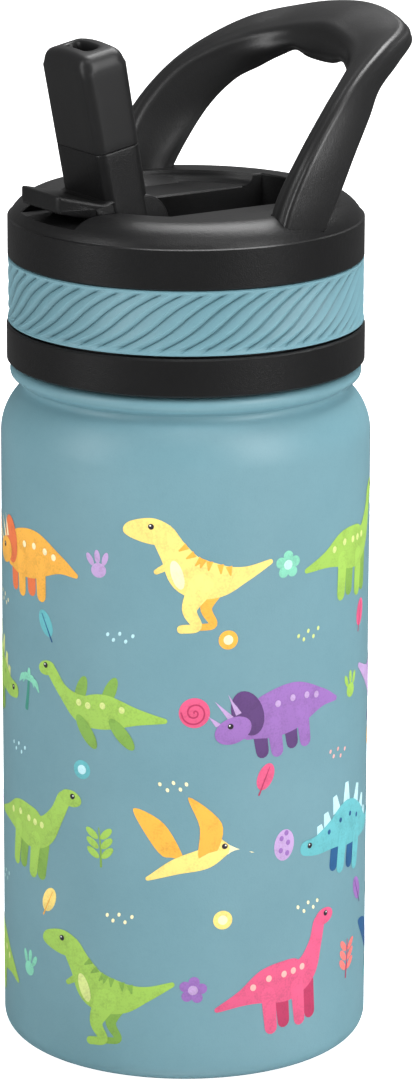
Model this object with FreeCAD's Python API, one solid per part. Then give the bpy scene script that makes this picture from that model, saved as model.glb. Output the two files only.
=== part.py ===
import FreeCAD, Part
import math
import os

# Insulated kids' drinking bottle with a screw-on flip-spout lid and a fixed carry loop.
# Millimetres. The origin is the centre of the base, +Z is up, -Y is the drinking side,
# and the bottle is mirror-symmetric about X = 0 apart from its screw threads.

# ---------------------------------------------------------------- driving dimensions
BODY_R = 36.5            # outside of the straight body
BASE_FILLET = 4.15       # rolled bottom edge
BODY_TOP = 124.0         # where the shoulder starts
SHOULDER_R = 12.0        # shoulder arc
WALL = 0.5               # steel sheet
SHOULDER_SWEEP = 47      # degrees of the shoulder arc
GROOVE_R = 32.0          # narrowest place between shoulder and bead
GROOVE_Z = 134.2
BEAD_R = 34.55           # rolled bead under the lid
BEAD_Z = 136.9
BEAD_TOP = 138.5
NECK_R = 30.6            # outside of the threaded neck
LIP_Z = 151.0            # top of the mouth

LINER_R = 33.0           # outside of the inner bottle
LINER_FLOOR = 7.5
LINER_CORNER = 6.0       # radius between its wall and floor
LINER_NECK_Z = 134.0     # where its shoulder meets the neck
BASE_LIP_R = 29.5        # inside of the turned-in bottom edge
PAN_Z = 3.3              # underside of the pan
COVER_Z = 1.2            # underside of the cover plate
COVER_DISH = 0.5         # how far its middle is raised
COVER_DISH_R = 20.0
PORT_R = 1.0             # evacuation port
SOLDER_R = 2.2           # bead that closes the port
SOLDER_H = 0.6
GETTER_R = 5.0
GETTER_H = 1.0
GETTER_X = 12.0

PITCH = 4.0              # screw thread
THREAD_TURNS = 1.25
THREAD_DEPTH = 1.4
THREAD_WIDTH = 1.6
NECK_THREAD_Z = 142.5    # centre of the neck thread's first turn

RING_R = 35.2            # lower ring of the lid
RING_Z0 = 138.7
RING_Z1 = 146.3
SLEEVE_IN_R = 32.6       # bore of the lid's skirt
SLEEVE_OUT_R = 33.6      # seat of the soft band
DISC_Z0 = 152.8          # underside of the lid's sealing disc
DISC_Z1 = 155.0
SLEEVE_TOP = 163.5
BAND_R = 34.93
BAND_Z1 = 159.5

CAP_R = 34.95            # upper ring of the lid
CAP_EDGE_Z = 167.4       # top of the upper ring, where the shoulder starts
RIM_Z = 171.5
RIM_OUT_R = 27.8
RIM_IN_R = 23.4
DECK_Z = 169.4
DECK_R = 21.2
DECK_UNDER = 167.0

PIVOT_Y = -15.5          # spout hinge
PIVOT_Z = 168.0
BARREL_R = 6.3
SPOUT_LEAN = 11.1        # degrees forward of upright when open
SPOUT_HALF_W = 8.6
SPOUT_FRONT = -6.5       # faces of the spout, measured from the hinge along its own depth
SPOUT_REAR = 3.15
SPOUT_SPLIT = 16.1       # where the soft mouthpiece starts, along the spout
SPOUT_TOP = 35.8
PIN_R = 1.0
PIN_FIT = 0.05           # radial clearance on the hinge pins
BORE_R = 2.4             # drink passage

CHANNEL_HALF_W = 9.0
CHANNEL_FLOOR = 164.2
CHANNEL_END_R = 25.2
NOTCH_HALF_W = 9.7       # gap in the rim under the thumb tab
NOTCH_Y1 = -20.0

STRAW_R = 3.75
STRAW_BORE_R = 3.0
STRAW_FOOT_Z = 13.0      # above the floor of the inner bottle


# ---------------------------------------------------------------- helpers
def vec(x, y, z):
    return FreeCAD.Vector(x, y, z)


def outline(*parts):
    """Closed outline in the XZ plane. A pair is a corner; ("arc", mid, end) is an arc."""
    edges = []
    here = parts[0]
    for part in parts[1:] + (parts[0],):
        if part[0] == "arc":
            mid, end = part[1], part[2]
            arc = Part.Arc(vec(here[0], 0, here[1]), vec(mid[0], 0, mid[1]), vec(end[0], 0, end[1]))
            edges.append(arc.toShape())
            here = end
        elif math.dist(here, part) > 1e-9:
            edges.append(Part.makeLine(vec(here[0], 0, here[1]), vec(part[0], 0, part[1])))
            here = part
    return Part.Face(Part.Wire(edges))


def turned(*parts):
    """Solid of revolution about Z of an outline given as (radius, height)."""
    return outline(*parts).revolve(vec(0, 0, 0), vec(0, 0, 1), 360)


def disc(radius, z0, z1, x=0.0, y=0.0):
    return Part.makeCylinder(radius, z1 - z0, vec(x, y, z0))


def tube(outer, inner, z0, z1, x=0.0, y=0.0):
    return disc(outer, z0, z1, x, y).cut(disc(inner, z0 - 1, z1 + 1, x, y))


def block(x0, x1, y0, y1, z0, z1):
    return Part.makeBox(x1 - x0, y1 - y0, z1 - z0, vec(x0, y0, z0))


def rod(radius, x0, x1, y, z):
    """Cylinder along X."""
    return Part.makeCylinder(radius, x1 - x0, vec(x0, y, z), vec(1, 0, 0))


def side_plate(points, x0, x1):
    """Plate whose outline is given as (y, z), filled from x0 to x1."""
    wire = Part.makePolygon([vec(x0, y, z) for y, z in points + points[:1]])
    return Part.Face(wire).extrude(vec(x1 - x0, 0, 0))


def helix_ridge(root_r, tip_r, z_start):
    """Right-hand thread ridge with a trapezoid section, THREAD_TURNS long."""
    path = Part.makeHelix(PITCH, PITCH * THREAD_TURNS, root_r)
    half_root = THREAD_WIDTH / 2
    half_tip = THREAD_WIDTH / 4
    corners = [(root_r, -half_root), (tip_r, -half_tip), (tip_r, half_tip), (root_r, half_root)]
    section = Part.makePolygon([vec(r, 0, z) for r, z in corners + corners[:1]])
    ridge = Part.Wire(path).makePipeShell([section], True, True)
    ridge.translate(vec(0, 0, z_start))
    return ridge


def mirrored(shape):
    """The same shape on the other side of X = 0."""
    return shape.mirror(vec(0, 0, 0), vec(1, 0, 0))


def one_solid(shape):
    return shape.removeSplitter()


# ---------------------------------------------------------------- steel bottle
def outer_shell():
    """Sheet-steel wall: base edge, body, shoulder, groove, bead and neck in one skin."""
    inner_r = BODY_R - WALL
    fillet_mid = BASE_FILLET * (1 - math.sqrt(0.5))
    shoulder_c = BODY_R - SHOULDER_R
    end = math.radians(SHOULDER_SWEEP)
    turn = end / 2
    skin_r = SHOULDER_R - WALL

    def shoulder(radius, angle):
        return (shoulder_c + radius * math.cos(angle), BODY_TOP + radius * math.sin(angle))

    neck_in = NECK_R - WALL
    lip_z = LIP_Z - WALL
    wall = turned(
        (BASE_LIP_R, 0.0),
        (BODY_R - BASE_FILLET, 0.0),
        ("arc", (BODY_R - fillet_mid, fillet_mid), (BODY_R, BASE_FILLET)),
        (BODY_R, BODY_TOP),
        ("arc", shoulder(SHOULDER_R, turn), shoulder(SHOULDER_R, end)),
        ("arc", (GROOVE_R - 0.05, GROOVE_Z), (GROOVE_R + 0.75, GROOVE_Z + 1.0)),
        ("arc", (BEAD_R, BEAD_Z), (BEAD_R - 1.3, BEAD_TOP - 0.4)),
        (NECK_R + 0.6, BEAD_TOP),
        ("arc", (NECK_R + 0.15, BEAD_TOP + 0.2), (NECK_R, BEAD_TOP + 0.7)),
        (NECK_R, lip_z),
        (neck_in, lip_z),
        (neck_in, BEAD_TOP - WALL),
        (BEAD_R - 2.2, BEAD_TOP - 2 * WALL),
        (BEAD_R - WALL - 0.1, BEAD_Z),
        (GROOVE_R - WALL, GROOVE_Z),
        shoulder(skin_r, end),
        ("arc", shoulder(skin_r, turn), (inner_r, BODY_TOP)),
        (inner_r, BASE_FILLET),
        ("arc", (BODY_R - fillet_mid - WALL * 0.7, fillet_mid + WALL * 0.7), (BODY_R - BASE_FILLET, WALL)),
        (BASE_LIP_R + WALL, WALL),
        (BASE_LIP_R + WALL, PAN_Z + WALL),
        (BASE_LIP_R, PAN_Z + WALL),
    )
    thread = helix_ridge(NECK_R - WALL / 2, NECK_R + THREAD_DEPTH, NECK_THREAD_Z)
    return one_solid(wall.fuse(thread))


def inner_liner():
    """Inner bottle with a rounded floor, joined to the outer wall at the lip."""
    in_r = LINER_R - WALL
    neck_out = NECK_R - WALL
    neck_in = neck_out - WALL
    corner = LINER_CORNER
    bend = corner * (1 - math.sqrt(0.5))
    floor_top = LINER_FLOOR + WALL
    neck_z = LINER_NECK_Z
    return turned(
        (0.0, LINER_FLOOR),
        (LINER_R - corner, LINER_FLOOR),
        ("arc", (LINER_R - bend, LINER_FLOOR + bend), (LINER_R, LINER_FLOOR + corner)),
        (LINER_R, BODY_TOP),
        ("arc", (LINER_R - 0.8, BODY_TOP + 5.5), (neck_out, neck_z)),
        (neck_out, LIP_Z - WALL),
        (NECK_R, LIP_Z - WALL),
        (NECK_R, LIP_Z),
        (neck_in, LIP_Z),
        (neck_in, neck_z),
        ("arc", (in_r - 0.8, BODY_TOP + 5.5), (in_r, BODY_TOP)),
        (in_r, LINER_FLOOR + corner),
        ("arc", (in_r - bend + 0.05, floor_top + bend - 0.05), (LINER_R - corner, floor_top)),
        (0.0, floor_top),
    )


def shell_bottom():
    """Pan that closes the vacuum space, with the evacuation port at its centre."""
    return tube(BASE_LIP_R, PORT_R, PAN_Z, PAN_Z + WALL)


def base_cover():
    """Thin dished plate that hides the port."""
    dish_z = COVER_Z + COVER_DISH
    return turned(
        (0.0, dish_z),
        (COVER_DISH_R, dish_z),
        (COVER_DISH_R + 1.0, COVER_Z),
        (BASE_LIP_R, COVER_Z),
        (BASE_LIP_R, PAN_Z),
        (BASE_LIP_R - WALL, PAN_Z),
        (BASE_LIP_R - WALL, COVER_Z + WALL),
        (COVER_DISH_R + 1.2, COVER_Z + WALL),
        (COVER_DISH_R + 0.2, dish_z + WALL),
        (0.0, dish_z + WALL),
    )


def getter():
    """Gas-absorbing tablet on top of the pan."""
    return disc(GETTER_R, PAN_Z + WALL, PAN_Z + WALL + GETTER_H, x=GETTER_X)


def vacuum_seal():
    """Bead under the pan with a plug up the port."""
    bead = disc(SOLDER_R, PAN_Z - SOLDER_H, PAN_Z)
    return one_solid(bead.fuse(disc(PORT_R, PAN_Z, PAN_Z + WALL)))


# ---------------------------------------------------------------- lid: rings and seals
VENT_X = 12.0
VENT_Y = 8.0
VENT_HOLE_R = 1.4
SOCKET_BODY_R = 4.4
SOCKET_FLANGE_R = 5.4
SOCKET_FLANGE_H = 1.5
NIPPLE_FOOT_Z = 146.0


def thread_sleeve():
    """Lower ring, threaded skirt and sealing disc, moulded in one."""
    edge = 0.4
    wall = turned(
        (SLEEVE_IN_R, RING_Z0),
        (RING_R - edge, RING_Z0),
        (RING_R, RING_Z0 + edge),
        (RING_R, RING_Z1 - edge),
        (RING_R - edge, RING_Z1),
        (SLEEVE_OUT_R, RING_Z1),
        (SLEEVE_OUT_R, SLEEVE_TOP),
        (SLEEVE_OUT_R - 1.6, SLEEVE_TOP),
        (SLEEVE_OUT_R - 1.6, DISC_Z1),
        (0.0, DISC_Z1),
        (0.0, DISC_Z0),
        (SLEEVE_IN_R, DISC_Z0),
    )
    ridge = helix_ridge(SLEEVE_IN_R + 0.3, SLEEVE_IN_R - THREAD_DEPTH, NECK_THREAD_Z - PITCH / 2)
    body = wall.fuse(ridge)
    body = body.cut(disc(SOCKET_BODY_R, DISC_Z0 - 1, DISC_Z1 + 1, y=PIVOT_Y))
    body = body.cut(disc(VENT_HOLE_R, DISC_Z0 - 1, DISC_Z1 + 1, VENT_X, VENT_Y))
    return one_solid(body)


def silicone_band():
    """Soft band between the two rings."""
    edge = 0.3
    gap = 0.1
    return turned(
        (SLEEVE_OUT_R, RING_Z1 + gap),
        (BAND_R - edge, RING_Z1 + gap),
        (BAND_R, RING_Z1 + gap + edge),
        (BAND_R, BAND_Z1 - gap - edge),
        (BAND_R - edge, BAND_Z1 - gap),
        (SLEEVE_OUT_R, BAND_Z1 - gap),
    )


def lid_gasket():
    """Flat sealing ring with two lips, pressed between the mouth and the disc."""
    outer = SLEEVE_IN_R - 0.1
    inner = NECK_R - 2.2
    return turned(
        (inner, LIP_Z),
        (outer, LIP_Z),
        (outer, DISC_Z0),
        (inner, DISC_Z0),
        (inner, DISC_Z0 - 0.5),
        (inner + 0.5, (LIP_Z + DISC_Z0) / 2),
        (inner, LIP_Z + 0.5),
    )


def vent_valve():
    """Mushroom valve: flap under the disc, stem through it and a bulb above."""
    flap = disc(4.0, DISC_Z0 - 0.8, DISC_Z0, VENT_X, VENT_Y)
    stem = disc(VENT_HOLE_R - 0.2, DISC_Z0, DISC_Z1, VENT_X, VENT_Y)
    bulb = Part.makeCone(2.1, 1.1, 2.0, vec(VENT_X, VENT_Y, DISC_Z1))
    return one_solid(flap.fuse(stem).fuse(bulb))


def straw_socket():
    """Nipple with a flange that stands on the disc."""
    flange_top = DISC_Z1 + SOCKET_FLANGE_H
    flange = disc(SOCKET_FLANGE_R, DISC_Z1, flange_top, y=PIVOT_Y)
    plug = disc(SOCKET_BODY_R, DISC_Z0, DISC_Z1, y=PIVOT_Y)
    nipple = disc(STRAW_BORE_R, NIPPLE_FOOT_Z, DISC_Z0, y=PIVOT_Y)
    bore = disc(BORE_R - 0.2, NIPPLE_FOOT_Z - 1, flange_top + 1, y=PIVOT_Y)
    return one_solid(flange.fuse(plug).fuse(nipple).cut(bore))


def straw():
    """Straight straw pushed up to the disc, with its foot cut at a slant."""
    pipe = tube(STRAW_R, STRAW_BORE_R, STRAW_FOOT_Z, DISC_Z0, y=PIVOT_Y)
    slant = side_plate([(PIVOT_Y - 6, STRAW_FOOT_Z - 1), (PIVOT_Y + 6, STRAW_FOOT_Z - 1),
                        (PIVOT_Y + 6, STRAW_FOOT_Z + 6)], -6, 6)
    return pipe.cut(slant)


# ---------------------------------------------------------------- lid: cap
CRADLE_Y0 = -23.8        # block around the spout hinge
CRADLE_Y1 = -7.0
CRADLE_HALF_W = 13.4
CRADLE_FOOT = 158.5
BARREL_GAP = 0.35
PIN_X0 = 4.4             # ends of the right-hand pin
PIN_X1 = 12.3
SEAL_R = 4.6
SEAL_GAP = 0.1
SEAL_TOP = 4.0           # how far below the hinge the seal stops
TROUGH_WALL = 1.6
TROUGH_END_Y = 27.0
CHANNEL_VENT_R = 0.8
CHANNEL_VENT_Y = 4.0
ABOVE_LID = RIM_Z + 1
FAR_BELOW = 150.0
FAR_ABOVE = 180.0
TENON_Z = 165.0
TENON_X0 = 25.6          # tongue under the right foot of the carry loop
TENON_X1 = 30.8
TENON_Y0 = 1.6
TENON_Y1 = 9.4
SOCKET_WALL = 2.6        # plastic left around a tongue
SOCKET_X0 = 22.0
SOCKET_R = 32.6          # keeps the socket under the cap's shoulder
EASE = 0.35              # easing of the cap's cut edges
RAMP_X0 = 18.6           # web that runs from the deck up to the rim beside the loop's foot
RAMP_X1 = 24.0


def handle_socket():
    """Solid block inside the rim that takes one tenon of the carry loop."""
    stock = block(SOCKET_X0, SLEEVE_OUT_R, TENON_Y0 - SOCKET_WALL, TENON_Y1 + SOCKET_WALL + 1,
                  SLEEVE_TOP, DECK_Z)
    stock = stock.common(disc(SOCKET_R, SLEEVE_TOP, DECK_Z))
    foot_z = DECK_Z - 1.0
    top_z = RIM_Z - 0.05
    lead_in = [(RAMP_X0, foot_z), (RAMP_X1 + 0.6, foot_z), (RAMP_X1 + 0.6, top_z), (RAMP_X1, top_z),
               (RAMP_X0, DECK_Z)]
    wire = Part.makePolygon([vec(x, TENON_Y0 - 0.2, z) for x, z in lead_in + lead_in[:1]])
    ramp = Part.Face(wire).extrude(vec(0, TENON_Y1 - TENON_Y0 + 1.0, 0))
    return stock.fuse(ramp)


def channel_bevel():
    """Wedge that eases the deck's edge along the right side of the parking channel."""
    x, z = CHANNEL_HALF_W, DECK_Z
    wedge = [(x - EASE, z - EASE), (x, z - EASE), (x + EASE, z), (x + EASE, z + EASE), (x - EASE, z + EASE)]
    reach = math.sqrt(DECK_R ** 2 - x ** 2)
    wire = Part.makePolygon([vec(a, -reach, b) for a, b in wedge + wedge[:1]])
    return Part.Face(wire).extrude(vec(0, 2 * reach, 0))


def eased(cap):
    """Round the rim's edges at the channel's end and beside the thumb tab's notch."""
    def on_rim(edge):
        box = edge.BoundBox
        level = box.ZLength < 0.02 and abs(box.ZMin - RIM_Z) < 0.02
        in_channel = max(-box.XMin, box.XMax) < CHANNEL_HALF_W + 0.1
        at_end = in_channel and box.YMin > RIM_IN_R - 2 and box.YMax < CHANNEL_END_R + 0.1
        at_notch = abs(abs(box.Center.x) - NOTCH_HALF_W) < 0.02 and box.YMax < NOTCH_Y1
        return level and (at_end or at_notch)
    return cap.makeFillet(EASE, [edge for edge in cap.Edges if on_rim(edge)])


def lid_shell(loop):
    """Upper cap with the spout cradle and the parking channel; loop is cut out of it."""
    cap = turned(
        (SLEEVE_OUT_R, BAND_Z1),
        (CAP_R - 0.3, BAND_Z1),
        (CAP_R, BAND_Z1 + 0.3),
        (CAP_R, CAP_EDGE_Z - 0.1),
        (CAP_R - 0.4, CAP_EDGE_Z + 0.1),
        ("arc", (32.1, 170.3), (RIM_OUT_R, RIM_Z)),
        (RIM_IN_R, RIM_Z),
        (RIM_IN_R - 0.2, RIM_Z - 0.5),
        ("arc", (DECK_R + 1.4, DECK_Z + 0.45), (DECK_R, DECK_Z)),
        (0.0, DECK_Z),
        (0.0, DECK_UNDER),
        (DECK_R, DECK_UNDER),
        (DECK_R + 2.5, DECK_Z - 0.2),
        (30.2, DECK_Z - 0.2),
        (31.8, 167.8),
        (32.2, SLEEVE_TOP),
        (SLEEVE_OUT_R, SLEEVE_TOP),
    )
    trough_w = CHANNEL_HALF_W + TROUGH_WALL
    trough = block(-trough_w, trough_w, CRADLE_Y1 - 1, TROUGH_END_Y, CHANNEL_FLOOR - TROUGH_WALL, DECK_Z)
    trough = trough.common(disc(CHANNEL_END_R + TROUGH_WALL, FAR_BELOW, FAR_ABOVE))
    cradle = block(-CRADLE_HALF_W, CRADLE_HALF_W, CRADLE_Y0, CRADLE_Y1, CRADLE_FOOT, DECK_Z - 0.5)
    socket = handle_socket()
    cap = cap.fuse([trough, cradle, socket, mirrored(socket)])

    channel = block(-CHANNEL_HALF_W, CHANNEL_HALF_W, PIVOT_Y, TROUGH_END_Y, CHANNEL_FLOOR, ABOVE_LID)
    channel = channel.common(disc(CHANNEL_END_R, FAR_BELOW, FAR_ABOVE))
    barrel_room = rod(BARREL_R + BARREL_GAP, -CHANNEL_HALF_W, CHANNEL_HALF_W, PIVOT_Y, PIVOT_Z)
    mouth = block(-CHANNEL_HALF_W, CHANNEL_HALF_W, PIVOT_Y - BARREL_R - BARREL_GAP, PIVOT_Y,
                  PIVOT_Z, ABOVE_LID)
    notch = side_plate([(-CAP_R - 5, DECK_Z - 0.1), (CRADLE_Y0, DECK_Z), (NOTCH_Y1, DECK_Z),
                        (NOTCH_Y1, ABOVE_LID), (-CAP_R - 5, ABOVE_LID)],
                       -NOTCH_HALF_W, NOTCH_HALF_W)
    seal_bore = disc(SEAL_R, CRADLE_FOOT - 1, PIVOT_Z, y=PIVOT_Y)
    pin_hole = rod(PIN_R, CHANNEL_HALF_W - 1, PIN_X1, PIVOT_Y, PIVOT_Z)
    vent = disc(CHANNEL_VENT_R, CHANNEL_FLOOR - 3, CHANNEL_FLOOR + 1, y=CHANNEL_VENT_Y)
    bevel = channel_bevel()
    cap = cap.cut([channel, barrel_room, mouth, notch, seal_bore, pin_hole, mirrored(pin_hole),
                   vent, bevel, mirrored(bevel), loop])
    return eased(one_solid(cap))


def spout_pins():
    """Two short pins, one in each wall of the cradle."""
    pin = rod(PIN_R, PIN_X0, PIN_X1, PIVOT_Y, PIVOT_Z)
    return Part.makeCompound([pin, mirrored(pin)])


def spout_seal():
    """Soft seat whose hollow top the barrel turns in."""
    foot = DISC_Z1 + SOCKET_FLANGE_H
    plug = disc(SEAL_R, foot, PIVOT_Z, y=PIVOT_Y)
    reach = 2 * SEAL_R
    barrel = rod(BARREL_R + SEAL_GAP, -reach, reach, PIVOT_Y, PIVOT_Z)
    above = block(-reach, reach, PIVOT_Y - reach, PIVOT_Y + reach, PIVOT_Z - SEAL_TOP, PIVOT_Z + 1)
    bore = disc(BORE_R, foot - 1, PIVOT_Z, y=PIVOT_Y)
    return plug.cut([barrel, above, bore])


# ---------------------------------------------------------------- flip spout
def spout_frame(shape):
    """Place a shape drawn about the hinge, upright, into its open position."""
    shape.rotate(vec(0, 0, 0), vec(1, 0, 0), SPOUT_LEAN)
    shape.translate(vec(0, PIVOT_Y, PIVOT_Z))
    return shape


def rounded_bar(half_w, front, rear, z0, z1, radius):
    """Upright bar with rounded upright edges."""
    bar = block(-half_w, half_w, front, rear, z0, z1)
    upright = [e for e in bar.Edges if abs(e.Vertexes[0].X - e.Vertexes[1].X) < 1e-6
               and abs(e.Vertexes[0].Y - e.Vertexes[1].Y) < 1e-6]
    return bar.makeFillet(radius, upright)


SPOUT_EDGE = 1.5         # rounding of the upright edges
STEM_EDGE = 1.2
STEM_INSET = 1.7         # thickness of the soft mouthpiece
STEM_TOP = 32.0
ELBOW_Z = 9.0            # bend in the drink passage
MOUTH_HALF_W = 3.6       # drinking hole
MOUTH_HALF_D = 1.3
TAB_HALF_W = 7.5
TAB_OUTLINE = [(-33.6, 175.3), (-33.6, 172.1), (-26.4, 170.4), (-24.6, 169.9), (-20.0, 169.9),
               (-20.0, 174.2), (-23.2, 174.2), (-25.0, 172.9)]


def passage(z0, z1):
    """Drink passage up the middle of the spout, in the hinge frame."""
    middle = (SPOUT_FRONT + SPOUT_REAR) / 2
    return Part.makeCylinder(BORE_R, z1 - z0, vec(0, middle, z0))


def spout_base():
    """Hinge barrel, hard lower body, inner stem and thumb tab."""
    body = rounded_bar(SPOUT_HALF_W, SPOUT_FRONT, SPOUT_REAR, 0.0, SPOUT_SPLIT, SPOUT_EDGE)
    stem = rounded_bar(SPOUT_HALF_W - STEM_INSET, SPOUT_FRONT + STEM_INSET, SPOUT_REAR - STEM_INSET,
                       SPOUT_SPLIT - 1, STEM_TOP, STEM_EDGE)
    barrel = rod(BARREL_R, -SPOUT_HALF_W, SPOUT_HALF_W, 0, 0)
    upright = spout_frame(body.fuse([stem, barrel]))
    wide = SPOUT_HALF_W + 1
    under = block(-wide, wide, -CAP_R, PIVOT_Y, PIVOT_Z - 2 * BARREL_R, DECK_Z + 0.4)
    under = under.cut(rod(BARREL_R, -wide, wide, PIVOT_Y, PIVOT_Z))
    tab = side_plate(TAB_OUTLINE, -TAB_HALF_W, TAB_HALF_W)
    tab_end = TAB_OUTLINE[0][0]
    corner = [e for e in tab.Edges if all(abs(v.Y - tab_end) < 1e-6 for v in e.Vertexes)
              and e.Length < TAB_HALF_W]
    tab = tab.makeFillet(1.6, corner)
    piece = upright.fuse(tab).cut(under)
    middle = (SPOUT_FRONT + SPOUT_REAR) / 2
    upper = spout_frame(passage(ELBOW_Z, STEM_TOP + 1))
    knee = spout_frame(Part.makeSphere(BORE_R, vec(0, middle, ELBOW_Z)))
    lean = math.radians(SPOUT_LEAN)
    knee_y = PIVOT_Y + middle * math.cos(lean) - ELBOW_Z * math.sin(lean)
    knee_z = PIVOT_Z + middle * math.sin(lean) + ELBOW_Z * math.cos(lean)
    port = vec(0, PIVOT_Y, PIVOT_Z - BARREL_R - 1)
    rise = vec(0, knee_y, knee_z).sub(port)
    lower = Part.makeCylinder(BORE_R - 0.1, rise.Length, port, rise)
    pin_bore = rod(PIN_R + PIN_FIT, PIN_X0 - 0.4, PIN_X1, PIVOT_Y, PIVOT_Z)
    return one_solid(piece.cut([upper, knee, lower, pin_bore, mirrored(pin_bore)]))


def mouthpiece():
    """Soft sleeve over the stem, with a rounded top and an oblong drinking hole."""
    sleeve = rounded_bar(SPOUT_HALF_W, SPOUT_FRONT, SPOUT_REAR, SPOUT_SPLIT, SPOUT_TOP, SPOUT_EDGE)
    top_edges = [e for e in sleeve.Edges if abs(e.CenterOfMass.z - SPOUT_TOP) < 1e-6]
    sleeve = sleeve.makeFillet(1.3, top_edges)
    hollow = rounded_bar(SPOUT_HALF_W - STEM_INSET, SPOUT_FRONT + STEM_INSET, SPOUT_REAR - STEM_INSET,
                         SPOUT_SPLIT - 1, STEM_TOP, STEM_EDGE)
    middle = (SPOUT_FRONT + SPOUT_REAR) / 2
    slot = rounded_bar(MOUTH_HALF_W, middle - MOUTH_HALF_D, middle + MOUTH_HALF_D, STEM_TOP - 1,
                       SPOUT_TOP + 1, MOUTH_HALF_D - 0.05)
    return spout_frame(one_solid(sleeve.cut([hollow, slot])))


# ---------------------------------------------------------------- carry loop
# Stations along the right half of the loop, from the foot to the middle of the grip.
# Each row holds the front-outer, front-inner, rear-inner and rear-outer corners.
LOOP = [
    [(32.6, 0.6, 166.6), (26.4, 0.6, 166.6), (24.2, 10.4, 166.6), (32.2, 10.4, 166.6)],
    [(32.9, 2.6, 174.0), (26.5, 2.8, 174.2), (23.6, 13.9, 174.0), (32.7, 14.1, 174.2)],
    [(32.7, 7.2, 182.5), (27.4, 7.2, 182.8), (22.1, 19.4, 182.8), (32.0, 18.3, 182.2)],
    [(31.0, 13.9, 190.3), (25.9, 13.9, 190.7), (19.4, 24.2, 188.5), (30.0, 23.0, 188.7)],
    [(27.8, 21.2, 196.3), (21.9, 20.6, 195.2), (16.4, 28.2, 191.2), (26.8, 27.5, 193.3)],
    [(23.2, 30.4, 201.1), (17.6, 26.0, 197.8), (12.2, 30.0, 193.6), (23.4, 34.4, 197.4)],
    [(16.4, 39.6, 203.6), (12.4, 29.6, 199.7), (8.0, 30.8, 194.6), (17.6, 41.6, 200.2)],
    [(8.6, 42.6, 205.0), (6.4, 31.1, 201.1), (4.2, 31.0, 194.4), (9.4, 43.9, 201.2)],
    [(0.0, 43.4, 205.6), (0.0, 31.6, 202.0), (0.0, 31.2, 194.2), (0.0, 44.6, 201.6)],
]
LOOP_EDGE = 0.9


def rounded_ring(corners):
    """Closed eight-sided wire: the four corners with each corner cut back by LOOP_EDGE."""
    points = []
    for i, corner in enumerate(corners):
        here = vec(*corner)
        for other in (corners[i - 1], corners[(i + 1) % 4]):
            step = vec(*other).sub(here)
            points.append(here.add(step.multiply(LOOP_EDGE / step.Length)))
    return Part.makePolygon(points + points[:1])


def carry_handle():
    """Loop lofted through its stations, mirrored, with a tenon under each foot."""
    half = Part.makeLoft([rounded_ring(row) for row in LOOP], True, False)
    tenon = block(TENON_X0, TENON_X1, TENON_Y0, TENON_Y1, TENON_Z, LOOP[0][0][2] + 0.4)
    half = half.fuse(tenon)
    return one_solid(half.fuse(mirrored(half)))


# ---------------------------------------------------------------- write the pieces
def main():
    os.makedirs("parts", exist_ok=True)
    loop = carry_handle()
    pieces = {
        "outer_shell": outer_shell(),
        "inner_liner": inner_liner(),
        "shell_bottom": shell_bottom(),
        "base_cover": base_cover(),
        "getter": getter(),
        "vacuum_seal": vacuum_seal(),
        "thread_sleeve": thread_sleeve(),
        "silicone_band": silicone_band(),
        "lid_gasket": lid_gasket(),
        "lid_shell": lid_shell(loop),
        "carry_handle": loop,
        "spout_pins": spout_pins(),
        "spout_seal": spout_seal(),
        "spout_base": spout_base(),
        "mouthpiece": mouthpiece(),
        "straw_socket": straw_socket(),
        "straw": straw(),
        "vent_valve": vent_valve(),
    }
    for node, shape in pieces.items():
        shape.exportStep(f"parts/{node}.step")
        box = shape.BoundBox
        print(f"{node:14s} solids {len(shape.Solids)} valid {shape.isValid()} "
              f"volume {shape.Volume:9.1f} x {box.XMin:7.2f} {box.XMax:7.2f} "
              f"y {box.YMin:7.2f} {box.YMax:7.2f} z {box.ZMin:7.2f} {box.ZMax:7.2f}")


main()
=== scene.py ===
import math
import random

import bmesh
import bpy
import numpy as np
from mathutils import Matrix, Vector
from mathutils.geometry import delaunay_2d_cdt


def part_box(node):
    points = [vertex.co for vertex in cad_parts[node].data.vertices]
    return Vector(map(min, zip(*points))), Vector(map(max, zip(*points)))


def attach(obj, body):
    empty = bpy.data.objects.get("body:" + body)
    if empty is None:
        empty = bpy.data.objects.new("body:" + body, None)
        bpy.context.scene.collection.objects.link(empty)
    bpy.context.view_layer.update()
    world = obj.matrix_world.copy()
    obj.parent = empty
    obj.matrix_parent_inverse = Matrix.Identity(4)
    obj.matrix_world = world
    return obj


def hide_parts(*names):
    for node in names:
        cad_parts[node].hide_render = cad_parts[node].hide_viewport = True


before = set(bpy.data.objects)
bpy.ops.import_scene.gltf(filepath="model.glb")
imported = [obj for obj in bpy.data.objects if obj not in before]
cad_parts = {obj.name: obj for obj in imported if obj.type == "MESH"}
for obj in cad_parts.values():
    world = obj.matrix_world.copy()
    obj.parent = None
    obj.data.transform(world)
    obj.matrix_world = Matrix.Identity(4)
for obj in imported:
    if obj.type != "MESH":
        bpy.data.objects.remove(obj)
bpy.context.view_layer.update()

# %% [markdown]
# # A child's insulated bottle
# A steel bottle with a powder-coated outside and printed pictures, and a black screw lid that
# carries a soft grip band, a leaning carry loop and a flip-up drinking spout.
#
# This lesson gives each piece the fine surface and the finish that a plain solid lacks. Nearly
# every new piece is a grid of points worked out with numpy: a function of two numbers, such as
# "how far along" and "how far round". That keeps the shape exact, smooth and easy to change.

MM = 0.001


def node_mm(node):
    """Lowest and highest corner of a frame node, in millimetres."""
    low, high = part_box(node)
    return np.array(low) / MM, np.array(high) / MM


def add_object(name, data):
    """Put a mesh, a light or a camera into the scene as a new object."""
    made = bpy.data.objects.new(name, data)
    bpy.context.scene.collection.objects.link(made)
    return made


# %% [markdown]
# ## Camera
# The bottle is seen from its drinking side, turned a little to the right, and from slightly
# above. A long lens keeps the two sides of the body nearly parallel. The camera is placed by
# its direction, height and tilt rather than aimed by eye, so that the view can be repeated.

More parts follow.
